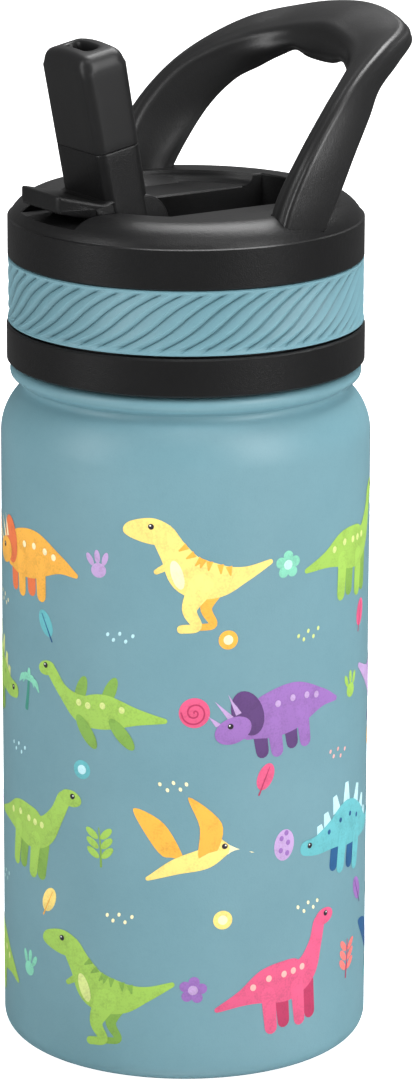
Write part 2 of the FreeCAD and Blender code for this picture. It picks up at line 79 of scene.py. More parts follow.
# %% Camera
CAMERA_AT = (0.8304, -0.5311, 0.3686)
CAMERA_HEADING = 57.4
CAMERA_TILT_DOWN = 15.17
CAMERA_ROLL = 0.125

lens = bpy.data.cameras.new("bottle_camera")
lens.sensor_width = 36
lens.lens = 171.39
lens.shift_x = 0.022
camera = add_object("bottle_camera", lens)
heading = Matrix.Rotation(math.radians(CAMERA_HEADING), 4, "Z")
tilt = Matrix.Rotation(math.radians(90 - CAMERA_TILT_DOWN), 4, "X")
roll = Matrix.Rotation(math.radians(CAMERA_ROLL), 4, "Z")
camera.matrix_world = Matrix.Translation(CAMERA_AT) @ heading @ tilt @ roll
bpy.context.scene.camera = camera
print("camera distance from the axis:", round(math.hypot(*CAMERA_AT[:2]), 3), "m")

# %% [markdown]
# ## Shader helpers
# A finish is a small tree of nodes. Writing the links out one by one hides the idea, so a few
# helpers place a node, set its plain values and join it in one call. The floor uses them too.

# %% Shader helpers


def fill(tree, node, values):
    """Set a node's inputs: a socket is linked, anything else is written as a plain value."""
    for key, value in values.items():
        if isinstance(value, bpy.types.NodeSocket):
            tree.links.new(value, node.inputs[key])
        else:
            node.inputs[key].default_value = value


def place(tree, kind, values=None, **settings):
    """Add a node, set its properties, then fill its inputs."""
    node = tree.nodes.new(kind)
    for name, value in settings.items():
        setattr(node, name, value)
    fill(tree, node, values or {})
    return node


def number(tree, operation, a, b=0.0):
    """One Math node; a and b are numbers or sockets."""
    return place(tree, "ShaderNodeMath", {0: a, 1: b}, operation=operation).outputs[0]


def blend_colour(tree, factor, a, b, mode="MIX"):
    """Mix two colours; each may be an (r, g, b) or a socket."""
    a, b = ((*colour, 1) if isinstance(colour, tuple) else colour for colour in (a, b))
    return place(tree, "ShaderNodeMix", {0: factor, 6: a, 7: b}, data_type="RGBA",
                 blend_type=mode).outputs[2]


def ramp(tree, factor, stops):
    """Smooth steps from one number to another: stops are (position, value)."""
    node = place(tree, "ShaderNodeValToRGB", {0: factor})
    points = node.color_ramp.elements
    while len(points) < len(stops):
        points.new(0.5)
    for point, (position, value) in zip(points, stops):
        point.position = position
        point.color = (value, value, value, 1)
    return node.outputs[0]


def new_group(name, inputs, outputs):
    """Empty node group with named float or vector inputs and named outputs."""
    tree = bpy.data.node_groups.new(name, "ShaderNodeTree")
    for socket, kind, value in inputs:
        made = tree.interface.new_socket(socket, in_out="INPUT", socket_type=kind)
        if value is not None:
            made.default_value = value
    for socket, kind in outputs:
        tree.interface.new_socket(socket, in_out="OUTPUT", socket_type=kind)
    return tree, tree.nodes.new("NodeGroupInput"), tree.nodes.new("NodeGroupOutput")


def new_material(name):
    """Material that uses nodes, with its tree and its Principled shader."""
    material = bpy.data.materials.new(name)
    material.use_nodes = True
    return material, material.node_tree, material.node_tree.nodes["Principled BSDF"]


def join_surface(tree, shader, colour, rough_by, rough, height, bump_mm):
    """Join colour and bump to a shader, and a roughness that runs over a span with one socket."""
    spread = place(tree, "ShaderNodeMapRange",
                   {"Value": rough_by, "To Min": rough[0], "To Max": rough[1]})
    relief = place(tree, "ShaderNodeBump",
                   {"Strength": 1.0, "Distance": bump_mm * MM, "Height": height})
    fill(tree, shader, {"Base Color": colour, "Roughness": spread.outputs[0],
                        "Normal": relief.outputs[0]})


# %% [markdown]
# ## Floor and light
# A product like this is lit with large soft boxes, so that the black plastic shows broad, dim
# highlights and the coat shows no hard spot. Area lights stand for the boxes: one on each side
# of the camera, one overhead, one above the front and a weak one underneath. The sky gives the
# rest. The floor is plain and pale.

# %% Floor and light
FLOOR_HALF = 6.0
PAPER_TONE = (0.93, 0.93, 0.93, 1)
PAPER_ROUGHNESS = 0.9
WHITE = (1, 1, 1, 1)
LIGHT_TARGET = Vector((0, 0, 0.11))
SKY_STRENGTH = 0.17


def build_paper():
    """Pale paper that the camera sees as plain white."""
    material, tree, shader = new_material("floor_paper")
    ray = place(tree, "ShaderNodeLightPath").outputs
    facing = place(tree, "ShaderNodeNewGeometry").outputs
    # From below the paper is clear, and it lets the light under the bottle through.
    clear = number(tree, "MAXIMUM", facing["Backfacing"], ray["Is Shadow Ray"])
    fill(tree, shader, {"Base Color": PAPER_TONE, "Roughness": PAPER_ROUGHNESS,
                        "Emission Color": WHITE, "Emission Strength": ray["Is Camera Ray"],
                        "Alpha": number(tree, "SUBTRACT", 1.0, clear)})
    return material


floor_mesh = bpy.data.meshes.new("floor")
floor_corners = [(x, y, 0) for x, y in ((-1, -1), (1, -1), (1, 1), (-1, 1))]
floor_mesh.from_pydata([tuple(FLOOR_HALF * c for c in p) for p in floor_corners], [], [(0, 1, 2, 3)])
floor = add_object("floor", floor_mesh)
floor.visible_glossy = False
floor_mesh.materials.append(build_paper())


def soft_box(name, azimuth, elevation, distance, size, watts):
    """Rectangular area light aimed at the middle of the bottle from a compass direction."""
    a, e = math.radians(azimuth), math.radians(elevation)
    away = Vector((math.cos(a) * math.cos(e), math.sin(a) * math.cos(e), math.sin(e)))
    light = bpy.data.lights.new(name, "AREA")
    light.shape = "RECTANGLE"
    light.size, light.size_y = size
    light.energy = watts
    lamp = add_object(name, light)
    lamp.location = LIGHT_TARGET + away * distance
    lamp.rotation_euler = away.to_track_quat("Z", "Y").to_euler()


CAMERA_AZIMUTH = math.degrees(math.atan2(CAMERA_AT[1], CAMERA_AT[0]))
soft_box("left_box", CAMERA_AZIMUTH - 62, 22, 1.3, (0.35, 1.1), 8)
soft_box("right_box", CAMERA_AZIMUTH + 50, 26, 1.3, (0.40, 1.1), 13)
soft_box("overhead_box", CAMERA_AZIMUTH + 150, 62, 1.4, (1.0, 0.8), 24)
soft_box("under_box", CAMERA_AZIMUTH, -75, 1.3, (0.8, 0.8), 3)
soft_box("front_top_box", CAMERA_AZIMUTH + 8, 64, 1.3, (0.7, 0.35), 3)

sky = bpy.data.worlds.new("soft_sky")
bpy.context.scene.world = sky
sky.use_nodes = True
fill(sky.node_tree, sky.node_tree.nodes["Background"], {"Color": WHITE, "Strength": SKY_STRENGTH})
bpy.context.scene.view_settings.view_transform = "Standard"

# %% [markdown]
# ## Grain: the skin of moulded plastic and powder coat
# A steel mould is spark-eroded, which leaves a skin of tiny pits on the plastic. Powder coat
# has a like skin, softer and coarser, because the powder melts before it lies quite flat.
# Both are noise at two scales: a fine pit and a slow swell. One node group makes them for every
# finish. It gives a height for the bump and a mottle for colour and roughness.

# %% Grain group


def build_grain():
    """height = fine noise + swell x slow noise; mottle = very slow noise, as heat and dust leave it."""
    tree, given, result = new_group(
        "moulded_grain",
        [("Grain mm", "NodeSocketFloat", 0.3), ("Swell mm", "NodeSocketFloat", 1.5),
         ("Swell", "NodeSocketFloat", 0.5)],
        [("Height", "NodeSocketFloat"), ("Mottle", "NodeSocketFloat")])
    spot = place(tree, "ShaderNodeTexCoord").outputs["Object"]
    fine_scale = number(tree, "DIVIDE", 1 / MM, given.outputs["Grain mm"])
    slow_scale = number(tree, "DIVIDE", 1 / MM, given.outputs["Swell mm"])
    fine = place(tree, "ShaderNodeTexNoise", {"Vector": spot, "Scale": fine_scale, "Detail": 2.0})
    slow = place(tree, "ShaderNodeTexNoise", {"Vector": spot, "Scale": slow_scale, "Detail": 1.0})
    patch = place(tree, "ShaderNodeTexNoise", {"Vector": spot, "Scale": 45.0, "Detail": 3.0})
    swell = number(tree, "MULTIPLY", slow.outputs["Fac"], given.outputs["Swell"])
    fill(tree, result, {"Height": number(tree, "ADD", fine.outputs["Fac"], swell),
                        "Mottle": patch.outputs["Fac"]})
    return tree


GRAIN = build_grain()
print("grain group:", [s.name for s in GRAIN.interface.items_tree])

# %% [markdown]
# ## Turning marks: steel that was spun or polished in a lathe
# Stainless bottles are polished while they spin, so their scratches run round the axis. The
# point is turned into "distance from the axis" and "height", and the noise reads only those
# two, with a little of the angle, so each scratch becomes a long thin ring.

# %% Turning marks group


def build_turning_marks():
    """noise(radius x fine, height x fine, angle x little): long scratches round the Z axis."""
    tree, given, result = new_group(
        "turning_marks",
        [("Lines per mm", "NodeSocketFloat", 6.0)],
        [("Height", "NodeSocketFloat"), ("Mottle", "NodeSocketFloat")])
    spot = place(tree, "ShaderNodeTexCoord").outputs["Object"]
    split = place(tree, "ShaderNodeSeparateXYZ", {0: spot})
    square = [number(tree, "MULTIPLY", split.outputs[i], split.outputs[i]) for i in (0, 1)]
    radius = number(tree, "SQRT", number(tree, "ADD", *square))
    angle = number(tree, "ARCTAN2", split.outputs[1], split.outputs[0])
    density = number(tree, "MULTIPLY", given.outputs["Lines per mm"], 1 / MM)
    across = number(tree, "MULTIPLY", radius, density)
    along = number(tree, "MULTIPLY", split.outputs[2], density)
    turn = number(tree, "MULTIPLY", angle, 2.5)
    lathe_space = place(tree, "ShaderNodeCombineXYZ", {0: across, 1: along, 2: turn}).outputs[0]
    line = place(tree, "ShaderNodeTexNoise", {"Vector": lathe_space, "Scale": 1.0, "Detail": 3.0})
    wide = place(tree, "ShaderNodeTexNoise", {"Vector": lathe_space, "Scale": 0.12, "Detail": 2.0})
    fill(tree, result, {"Height": line.outputs["Fac"], "Mottle": wide.outputs["Fac"]})
    return tree


TURNING_MARKS = build_turning_marks()

# %% [markdown]
# ## Finishes
# Each finish is a Principled shader with its constants set on its own sockets. The node group
# only feeds what changes over the surface: colour, roughness and bump.

# %% Finish maker


def finish(name, dark, light, rough, grain_mm=0.3, swell_mm=1.5, swell=0.5, bump_mm=0.02,
           steel=False, **constants):
    """Principled material whose colour runs from dark to light with the group's mottle."""
    material, tree, shader = new_material(name)
    if steel:
        group = place(tree, "ShaderNodeGroup", node_tree=TURNING_MARKS)
    else:
        group = place(tree, "ShaderNodeGroup", node_tree=GRAIN)
        fill(tree, group, {"Grain mm": grain_mm, "Swell mm": swell_mm, "Swell": swell})
    height, mottle = group.outputs["Height"], group.outputs["Mottle"]
    broad = ramp(tree, mottle, [(0.3, 0.0), (0.7, 1.0)])
    speck = ramp(tree, height, [(0.35, 0.25), (0.9, 0.75)])
    shade = number(tree, "ADD", number(tree, "MULTIPLY", broad, 0.5),
                   number(tree, "MULTIPLY", speck, 0.5))
    colour = blend_colour(tree, shade, dark, light)
    join_surface(tree, shader, colour, shade, rough, height, bump_mm)
    for socket, value in constants.items():
        shader.inputs[socket.replace("_", " ")].default_value = value
    return material


COAT = finish("slate_powder_coat", (0.128, 0.272, 0.322), (0.166, 0.324, 0.378), (0.50, 0.42),
              grain_mm=0.35, swell_mm=1.6, swell=0.6, bump_mm=0.022)
STEEL = finish("polished_steel", (0.46, 0.46, 0.45), (0.66, 0.66, 0.65), (0.34, 0.22),
               bump_mm=0.003, steel=True, Metallic=1.0)
BLACK = finish("black_sparked_plastic", (0.006, 0.006, 0.0063), (0.011, 0.011, 0.0114), (0.44, 0.34),
               grain_mm=0.24, swell_mm=0.9, swell=0.5, bump_mm=0.045, Specular_IOR_Level=0.30)
SATIN_BLACK = finish("black_satin_plastic", (0.007, 0.007, 0.0073), (0.012, 0.012, 0.0124),
                     (0.42, 0.34), grain_mm=0.30, swell_mm=1.4, swell=0.7, bump_mm=0.024,
                     Specular_IOR_Level=0.55)
SOFT_BLACK = finish("black_silicone", (0.009, 0.009, 0.0093), (0.015, 0.015, 0.0154), (0.46, 0.38),
                    grain_mm=0.35, swell_mm=2.2, swell=0.9, bump_mm=0.010,
                    Specular_IOR_Level=0.36)
GRIP_BLUE = finish("blue_grip_silicone", (0.130, 0.284, 0.336), (0.174, 0.342, 0.400), (0.56, 0.48),
                   grain_mm=0.28, swell_mm=1.2, swell=0.5, bump_mm=0.012)
MILKY = finish("milky_silicone", (0.66, 0.70, 0.69), (0.80, 0.83, 0.82), (0.38, 0.28),
               grain_mm=0.4, bump_mm=0.006)
STRAW = finish("milky_straw_plastic", (0.72, 0.77, 0.78), (0.84, 0.87, 0.88), (0.26, 0.18),
               grain_mm=0.6, bump_mm=0.004)
SOLDER = finish("solder_bead", (0.30, 0.30, 0.29), (0.50, 0.49, 0.46), (0.50, 0.35),
                grain_mm=0.5, bump_mm=0.03, Metallic=1.0)
TABLET = finish("pressed_getter", (0.16, 0.16, 0.17), (0.28, 0.28, 0.29), (0.75, 0.60),
                grain_mm=0.2, bump_mm=0.03, Metallic=0.6)
print("finishes:", len(bpy.data.materials))

# %% [markdown]
# ## Dressing the frame's own nodes
# The pieces inside the bottle keep the shape that the frame gives them. They only need the
# right finish in their material slots.

# %% Inner pieces
INNER = {"inner_liner": STEEL, "shell_bottom": STEEL, "getter": TABLET, "vacuum_seal": SOLDER,
         "lid_gasket": MILKY, "spout_pins": STEEL, "spout_seal": MILKY, "straw_socket": MILKY,
         "straw": STRAW, "vent_valve": MILKY, "thread_sleeve": BLACK, "lid_shell": BLACK}
for node, material in INNER.items():
    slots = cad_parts[node].data.materials
    slots.clear()
    slots.append(material)
print("dressed:", sorted(INNER))

# %% [markdown]
# ## Mesh helpers
# Three small tools make every new piece but the print. `rounded` turns a corner list into a
# smooth outline. `skin` joins the rows of a grid with faces. `piece` puts the arrays into a
# mesh, welds the seam and the poles, and turns every face outwards.

# %% Mesh helpers
# Points round a turned piece.
TURN_STEPS = 256


def unit(vectors):
    """Vectors of length one, for rows of vectors."""
    return vectors / np.linalg.norm(vectors, axis=1, keepdims=True)


def around(radius, angle, height):
    """Points (radius cos a, radius sin a, height), with all three spread over one grid."""
    flat = np.broadcast_arrays(radius * np.cos(angle), radius * np.sin(angle), height)
    return np.stack(flat, -1)


def rounded(corners, steps=6):
    """Outline in which every (a, b, radius) corner is cut back and bridged by a curve.

    The bridge is (1-t)^2 start + 2t(1-t) corner + t^2 end, which is very near a true arc.
    """
    points = []
    count = len(corners)
    t = np.linspace(0, 1, steps + 1)[:, None]
    for i, (a, b, radius) in enumerate(corners):
        here = np.array((a, b), float)
        if radius <= 0 or i in (0, count - 1):
            points.append(here[None])
            continue
        before = np.array(corners[i - 1][:2], float) - here
        after = np.array(corners[i + 1][:2], float) - here
        start = here + before / np.linalg.norm(before) * radius
        end = here + after / np.linalg.norm(after) * radius
        points.append((1 - t) ** 2 * start + 2 * t * (1 - t) * here + t ** 2 * end)
    return np.vstack(points)


def skin(rows, columns, wrap_rows=False):
    """Quads of a grid whose point (i, j) is number i x columns + j; each row is a closed ring."""
    i = np.arange(rows if wrap_rows else rows - 1)[:, None]
    j = np.arange(columns)[None, :]
    up, side = (i + 1) % rows, (j + 1) % columns
    quads = [i * columns + j, i * columns + side, up * columns + side, up * columns + j]
    return np.stack(quads, -1).reshape(-1, 4)


def tube(rings):
    """Part for a run of rings, each joined to the next."""
    return rings, skin(*rings.shape[:2]), 0


def piece(name, parts, materials, body, replaces=(), sharp=40):
    """One object from (points in mm, quads, material number) parts, riding on a body."""
    points, quads, numbers, first = [], [], [], 0
    for cloud, faces, number_of in parts:
        cloud = np.asarray(cloud, float).reshape(-1, 3)
        points.append(cloud)
        quads.append(np.asarray(faces) + first)
        numbers.append(np.full(len(faces), number_of))
        first += len(cloud)
    mesh = bpy.data.meshes.new(name)
    mesh.from_pydata(np.vstack(points) * MM, [], np.vstack(quads).tolist())
    mesh.polygons.foreach_set("material_index", np.concatenate(numbers).astype(np.int32))
    work = bmesh.new()
    work.from_mesh(mesh)
    bmesh.ops.remove_doubles(work, verts=work.verts, dist=2e-7)
    bmesh.ops.dissolve_degenerate(work, edges=work.edges, dist=1e-8)
    bmesh.ops.recalc_face_normals(work, faces=work.faces)
    work.to_mesh(mesh)
    work.free()
    for material in materials:
        mesh.materials.append(material)
    mesh.shade_smooth()
    mesh.set_sharp_from_angle(angle=math.radians(sharp))
    made = add_object(name, mesh)
    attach(made, body)
    if replaces:
        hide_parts(*replaces)
    print(f"{name}: {len(mesh.polygons)} faces")
    return made


def turned(outline):
    """Outline of (radius, height) rows, turned about the axis."""
    angle = np.linspace(0, 2 * np.pi, TURN_STEPS, endpoint=False)
    return around(outline[:, :1], angle, outline[:, 1:])


# %% [markdown]
# ## The steel wall
# One sheet of steel makes the outside: a rolled edge to stand on, the straight body, a round
# shoulder, a groove, a bead and the threaded neck. A turned outline gives them all at once,
# and long arcs are real arcs rather than cut corners, so their highlight runs clean. The coat
# stops under the lid, where the neck is bare metal.

# %% Steel wall
_, shell_high = node_mm("outer_shell")
BODY_R = 36.5
BODY_TOP = 124.0
SHOULDER_R = 12.0
SHOULDER_SWEEP = 47
BASE_FILLET = 4.15
BASE_LIP_R = 29.5
BEAD_R = 34.55
NECK_R = 30.6
LIP_Z = 151.0
WALL = 0.5
THREAD_PITCH = 4.0
THREAD_ROOT = 0.3
THREAD_DEPTH = 1.4
THREAD_Z = 142.5
THREAD_TURNS = 1.25
COAT_TOP = 138.35
COAT_BOTTOM = 0.02


def arc(centre, radius, start, end, steps):
    """Points centre + radius (cos a, sin a), with a running from start to end degrees."""
    a = np.radians(np.linspace(start, end, steps + 1))
    return np.stack([centre[0] + radius * np.cos(a), centre[1] + radius * np.sin(a)], -1)


def wall_outline():
    """Outer skin from the standing edge to the lip, then back down inside it."""
    base = arc((BODY_R - BASE_FILLET, BASE_FILLET), BASE_FILLET, -90, 0, 16)
    shoulder = arc((BODY_R - SHOULDER_R, BODY_TOP), SHOULDER_R, 0, SHOULDER_SWEEP, 22)
    body = np.stack([np.full(26, BODY_R), np.linspace(BASE_FILLET, BODY_TOP, 28)[1:-1]], -1)
    top = rounded([(*shoulder[-1], 0), (31.75, 133.75, 0.9), (32.0, 134.5, 0.5), (33.9, 135.35, 0.9),
                   (34.62, 136.3, 0.6), (BEAD_R, 137.6, 0.7), (33.3, 138.3, 0.6), (31.2, 138.5, 0.4),
                   (NECK_R, 139.2, 0.4), (NECK_R, LIP_Z - WALL, 0)])
    inside = rounded([(NECK_R - WALL, LIP_Z - WALL, 0), (NECK_R - WALL, 138.0, 0.3),
                      (31.5, 134.3, 1.0), (BODY_R - WALL, BODY_TOP - 1, 6.0), (BODY_R - WALL, 4.0, 2.0),
                      (BODY_R - 4.2, WALL, 1.5), (BASE_LIP_R + WALL, WALL, 0.1),
                      (BASE_LIP_R + WALL, 3.8, 0), (BASE_LIP_R, 3.8, 0), (BASE_LIP_R, 0.35, 0.2)])
    foot = np.array([(BASE_LIP_R + 0.1, 0.1), (BASE_LIP_R + 0.4, 0.0)])
    return np.vstack([foot, base, body, shoulder, top[1:], inside])


def thread_ridge(root_r, tip_r, start_z, turns, segments=240):
    """Screw ridge: its section rides up pitch x turn, and its depth fades out at both ends."""
    t = np.linspace(0, 1, segments)[:, None]
    fade = np.clip(np.minimum(t, 1 - t) * turns * 8, 0, 1) ** 0.5
    across = np.array([-0.8, -0.5, -0.3, 0.3, 0.5, 0.8])[None]
    depth = np.array([0.0, 0.75, 1.0, 1.0, 0.75, 0.0])[None]
    radius = root_r + (tip_r - root_r) * depth * fade
    height = start_z + THREAD_PITCH * turns * t + across * (0.4 + 0.6 * fade)
    cloud = around(radius, 2 * np.pi * turns * t, height)
    return cloud, skin(*cloud.shape[:2])


outline = wall_outline()
cloud = turned(outline)
quads = skin(len(outline), TURN_STEPS, wrap_rows=True)
bare = ((outline[:, 1] > COAT_TOP) | (outline[:, 1] < COAT_BOTTOM)).astype(int)
inner_start = len(outline) - 1 - np.argmax(outline[::-1, 1] > LIP_Z - 2 * WALL)
bare[inner_start:] = 1
row_of_face = np.repeat(np.arange(len(outline)), TURN_STEPS)
coated = quads[bare[row_of_face] == 0]
naked = quads[bare[row_of_face] == 1]
ridge, ridge_quads = thread_ridge(NECK_R - THREAD_ROOT, NECK_R + THREAD_DEPTH, THREAD_Z, THREAD_TURNS)
piece(
    "bottle_wall",
    [(cloud, coated, 0), (cloud, naked, 1), (ridge, ridge_quads, 1)],
    [COAT, STEEL], "bottle", ["outer_shell"], sharp=50)
print("wall height", round(shell_high[2], 1), "mm, widest", BODY_R * 2, "mm")

# %% [markdown]
# ## The plate underneath
# A thin dished plate hides the seal of the vacuum space. It is spun in a lathe, so it has
# rolled edges and turning marks, with two shallow steps that stiffen it.

# %% Base plate
PLATE_Z = 1.2
plate_outline = rounded([
    (0.0, PLATE_Z + 0.7, 0), (9.0, PLATE_Z + 0.7, 0.6), (10.0, PLATE_Z + 0.5, 0.6),
    (20.0, PLATE_Z + 0.5, 0.8), (21.4, PLATE_Z, 0.8), (BASE_LIP_R - 0.9, PLATE_Z, 0.5),
    (BASE_LIP_R - 0.02, PLATE_Z + 0.5, 0.4), (BASE_LIP_R - 0.02, 3.3, 0), (BASE_LIP_R - WALL, 3.3, 0),
    (BASE_LIP_R - WALL, PLATE_Z + 1.0, 0.3), (21.2, PLATE_Z + 1.0, 0.5), (0.0, PLATE_Z + 1.2, 0)])
piece("base_plate", [tube(turned(plate_outline))], [STEEL], "bottle", ["base_cover"])

# %% [markdown]
# ## The grip band
# The soft band between the two rings is moulded with a relief of leaning waves. Each wave is
# one flat facet that rises to a crest and one that falls to a valley. The columns of the grid
# follow the waves, so a crest is always an edge of the mesh and stays crisp. Round the ring,
# the place of a column is (wave + share of the wave) x pitch + lean(height), where the lean is
# a straight slope with one swing of a sine, which makes the waves S-shaped.

# %% Grip band
band_low, band_high = node_mm("silicone_band")
BAND_R = 34.93
BAND_SEAT_R = 33.6
WAVES = 52
WAVE_LEAN_MM = 18.0
WAVE_SWING_MM = 0.75
WAVE_DEPTH = 0.80
CREST_R = BAND_R - 0.05
# Painted shade: how dark the colour is made at the bottom of a valley.
PAINTED_VALLEY_SHADE = 0.68


def grip_band():
    """radius = crest radius - depth x distance from the crest, eased to nothing at both edges."""
    z0, z1 = band_low[2] + 0.35, band_high[2]
    share = np.array([0, 0.12, 0.3, 0.5, 0.5001, 0.62, 0.8, 0.92, 1.0])[:-1]
    rise = np.linspace(0, 1, 34)
    up = rise[:, None, None]
    crest = 0.40 + 0.28 * np.sin(np.pi * up)
    first_half = share[None, None] <= 0.5
    place_in_wave = np.where(first_half, share * 2 * crest, crest + (share - 0.5) * 2 * (1 - crest))
    height_in_wave = np.where(first_half, share * 2, 2 - share * 2)
    wave = np.arange(WAVES)[None, :, None]
    lean = WAVE_LEAN_MM * up + WAVE_SWING_MM * np.sin(2 * np.pi * up)
    along = (wave + place_in_wave) * (2 * np.pi * BAND_R / WAVES) + lean
    angle = (along / BAND_R).reshape(len(rise), -1)
    ease = np.clip(np.minimum(up, 1 - up) * 16, 0, 1)
    radius = CREST_R - WAVE_DEPTH * (1 - height_in_wave ** 0.6) * ease + 0 * wave
    radius = radius.reshape(len(rise), -1)
    z = z0 + 0.55 + (z1 - z0 - 1.0) * rise
    face = around(radius, angle, z[:, None])

    def flange(row, radii, heights):
        return np.stack([around(r, angle[row], h) for r, h in zip(radii, heights)])

    below = flange(0, (BAND_SEAT_R, BAND_R - 0.35, BAND_R + 0.02, BAND_R + 0.06, BAND_R - 0.02),
                   (z0, z0, z0 + 0.15, z0 + 0.35, z0 + 0.5))
    above = flange(-1, (BAND_R - 0.03, BAND_R - 0.3, BAND_SEAT_R), (z1 - 0.25, z1, z1))
    # The waves lean, so the top row is turned against the bottom one. The inner wall turns back
    # in small steps: in one step its faces would sag inwards from the seat.
    share = np.linspace(0, 1, 18)[1:-1, None]
    turn = angle[-1] + (angle[0] - angle[-1]) * share
    inner = around(BAND_SEAT_R, turn, z1 + (z0 - z1) * share)
    cloud = np.vstack([below, face, above, inner])
    return cloud, skin(*cloud.shape[:2], wrap_rows=True), 0


def paint_valley_shade(material, low, high, darkest):
    """Painted shade in the valleys: multiply the colour by a shade that falls with the distance from the
    axis.
    """
    tree = material.node_tree
    colour = tree.nodes["Principled BSDF"].inputs["Base Color"]
    spot = place(tree, "ShaderNodeTexCoord").outputs["Object"]
    flat = place(tree, "ShaderNodeVectorMath", {0: spot, 1: (1.0, 1.0, 0.0)},
                 operation="MULTIPLY").outputs[0]
    away = place(tree, "ShaderNodeVectorMath", {0: flat}, operation="LENGTH").outputs["Value"]
    share = place(tree, "ShaderNodeMapRange",
                  {"Value": away, "From Min": low * MM, "From Max": high * MM}).outputs[0]
    shade = ramp(tree, share, [(0.0, darkest), (0.45, 0.86), (1.0, 1.0)])
    tree.links.new(blend_colour(tree, 1.0, colour.links[0].from_socket, shade, "MULTIPLY"), colour)


# The grip band's valleys get painted shade: their colour is darkened the deeper they lie.
paint_valley_shade(GRIP_BLUE, CREST_R - WAVE_DEPTH, CREST_R, PAINTED_VALLEY_SHADE)
piece("grip_band", [grip_band()], [GRIP_BLUE], "lid", ["silicone_band"], sharp=14)

# %% [markdown]
# ## The carry loop
# The loop starts as two upright blades beside the spout, leans back, spreads and flattens into
# a broad bar for the fingers. It is a section carried along a path. Nine stations say where the
# four corners of the section are, and a smooth curve through each row of corners gives all
# the sections between. Each corner is then rounded by its own radius.

# %% Carry loop stations
# One row a station, from the foot to the middle: front-outer, front-inner, rear-inner, rear-outer.
LOOP = np.array([
    [(32.6, 0.6, 166.6), (26.4, 0.6, 166.6), (24.2, 10.4, 166.6), (32.2, 10.4, 166.6)],
    [(32.9, 2.6, 174.0), (26.5, 2.8, 174.2), (23.6, 13.9, 174.0), (32.7, 14.1, 174.2)],
    [(32.7, 7.2, 182.5), (27.4, 7.2, 182.8), (22.1, 19.4, 182.8), (32.0, 18.3, 182.2)],
    [(31.0, 13.9, 190.3), (25.9, 13.9, 190.7), (19.4, 24.2, 188.5), (30.0, 23.0, 188.7)],
    [(27.8, 21.2, 196.3), (21.9, 20.6, 195.2), (16.4, 28.2, 191.2), (26.8, 27.5, 193.3)],
    [(23.2, 30.4, 201.1), (17.6, 26.0, 197.8), (12.2, 30.0, 193.6), (23.4, 34.4, 197.4)],
    [(16.4, 39.6, 203.6), (12.4, 29.6, 199.7), (8.0, 30.8, 194.6), (17.6, 41.6, 200.2)],
    [(8.6, 42.6, 205.0), (6.4, 31.1, 201.1), (4.2, 31.0, 194.4), (9.4, 43.9, 201.2)],
    [(0.0, 43.4, 205.6), (0.0, 31.6, 202.0), (0.0, 31.2, 194.2), (0.0, 44.6, 201.6)],
])
LOOP_ROUNDING = (1.3, 1.9, 1.0, 1.3)
LOOP_CROWN = (0.75, 0.15, 0.25, 0.35)


def smooth_through(points, steps):
    """Catmull-Rom curve through rows of points: each span is a cubic set by its four nearest rows."""
    ends = np.concatenate([2 * points[:1] - points[1:2], points, 2 * points[-1:] - points[-2:-1]])
    t = np.linspace(0, 1, steps, endpoint=False).reshape(-1, *[1] * (points.ndim - 1))
    spans = []
    for a, b, c, d in zip(ends, ends[1:], ends[2:], ends[3:]):
        spans.append(0.5 * (2 * b + (c - a) * t + (2 * a - 5 * b + 4 * c - d) * t ** 2
                            + (3 * b - a - 3 * c + d) * t ** 3))
    return np.concatenate(spans + [points[-1:]])


def loop_sections():
    """Rounded, slightly crowned four-sided rings all the way from one foot to the other."""
    other = LOOP[-2::-1] * np.array([-1, 1, 1])
    corners = smooth_through(np.concatenate([LOOP, other]), 14)
    scallop = np.exp(-((np.abs(corners[:, 2, 0]) - 8.0) / 2.6) ** 2)
    corners[:, 2, 2] += 0.8 * scallop * (corners[:, 2, 2] > 190)
    middle = corners.mean(axis=1)
    rings = []
    bridge = np.linspace(0, 1, 7)[:, None, None]
    flat = np.linspace(0, 1, 8)[1:-1, None, None]
    for i in range(4):
        here, before, after = corners[:, i], corners[:, i - 1], corners[:, (i + 1) % 4]
        cut = LOOP_ROUNDING[i]
        start = here + unit(before - here) * cut
        end = here + unit(after - here) * cut
        rings.append((1 - bridge) ** 2 * start + 2 * bridge * (1 - bridge) * here + bridge ** 2 * end)
        cut_next = LOOP_ROUNDING[(i + 1) % 4]
        stop = after + unit(here - after) * cut_next
        line = end + (stop - end) * flat
        out = unit((end + stop) / 2 - middle)
        rings.append(line + out * LOOP_CROWN[(i + 3) % 4] * 4 * flat * (1 - flat))
    return np.concatenate(rings).transpose(1, 0, 2)


def capped(rings):
    """Add the middle point at each end of a tube of rings, so that it closes."""
    first = np.broadcast_to(rings[0].mean(axis=0), rings[0].shape)
    last = np.broadcast_to(rings[-1].mean(axis=0), rings[-1].shape)
    return np.concatenate([first[None], rings, last[None]])


piece("carry_loop", [tube(capped(loop_sections()))],
      [SATIN_BLACK], "lid", ["carry_handle"], sharp=60)

# %% [markdown]
# ## The flip spout
# The spout turns on a round barrel. A hard lower body and a thumb tab are moulded with it, and
# a soft mouthpiece is pushed over its stem. The barrel, body and mouthpiece are drawn upright
# about the hinge and then leaned forward with the same turn; the tab is drawn where it stands.
# A section is a rounded rectangle with the same number of points in each corner, so that one
# section flows into the next without a twist.

# %% Spout sizes
PIVOT_Y, PIVOT_Z = -15.5, 168.0
SPOUT_LEAN = 11.1
BARREL_R = 6.3
BARREL_HALF_W = 8.6
SPLIT = 16.1
LOW_FRONT = -5.5
SPOUT_TOP = 35.8
# Where the front and back stand at the hinge, and how far each has moved at the top.
FRONT_Y, FRONT_SHIFT = -6.45, -0.2
BACK_Y, BACK_SHIFT = 2.7, 0.95


def lean_forward(cloud):
    """Turn points drawn about the hinge by the open angle, then move them to the hinge."""
    a = math.radians(SPOUT_LEAN)
    x, y, z = np.moveaxis(np.asarray(cloud, float), -1, 0)
    return np.stack([x, PIVOT_Y + y * math.cos(a) - z * math.sin(a),
                     PIVOT_Z + y * math.sin(a) + z * math.cos(a)], -1)


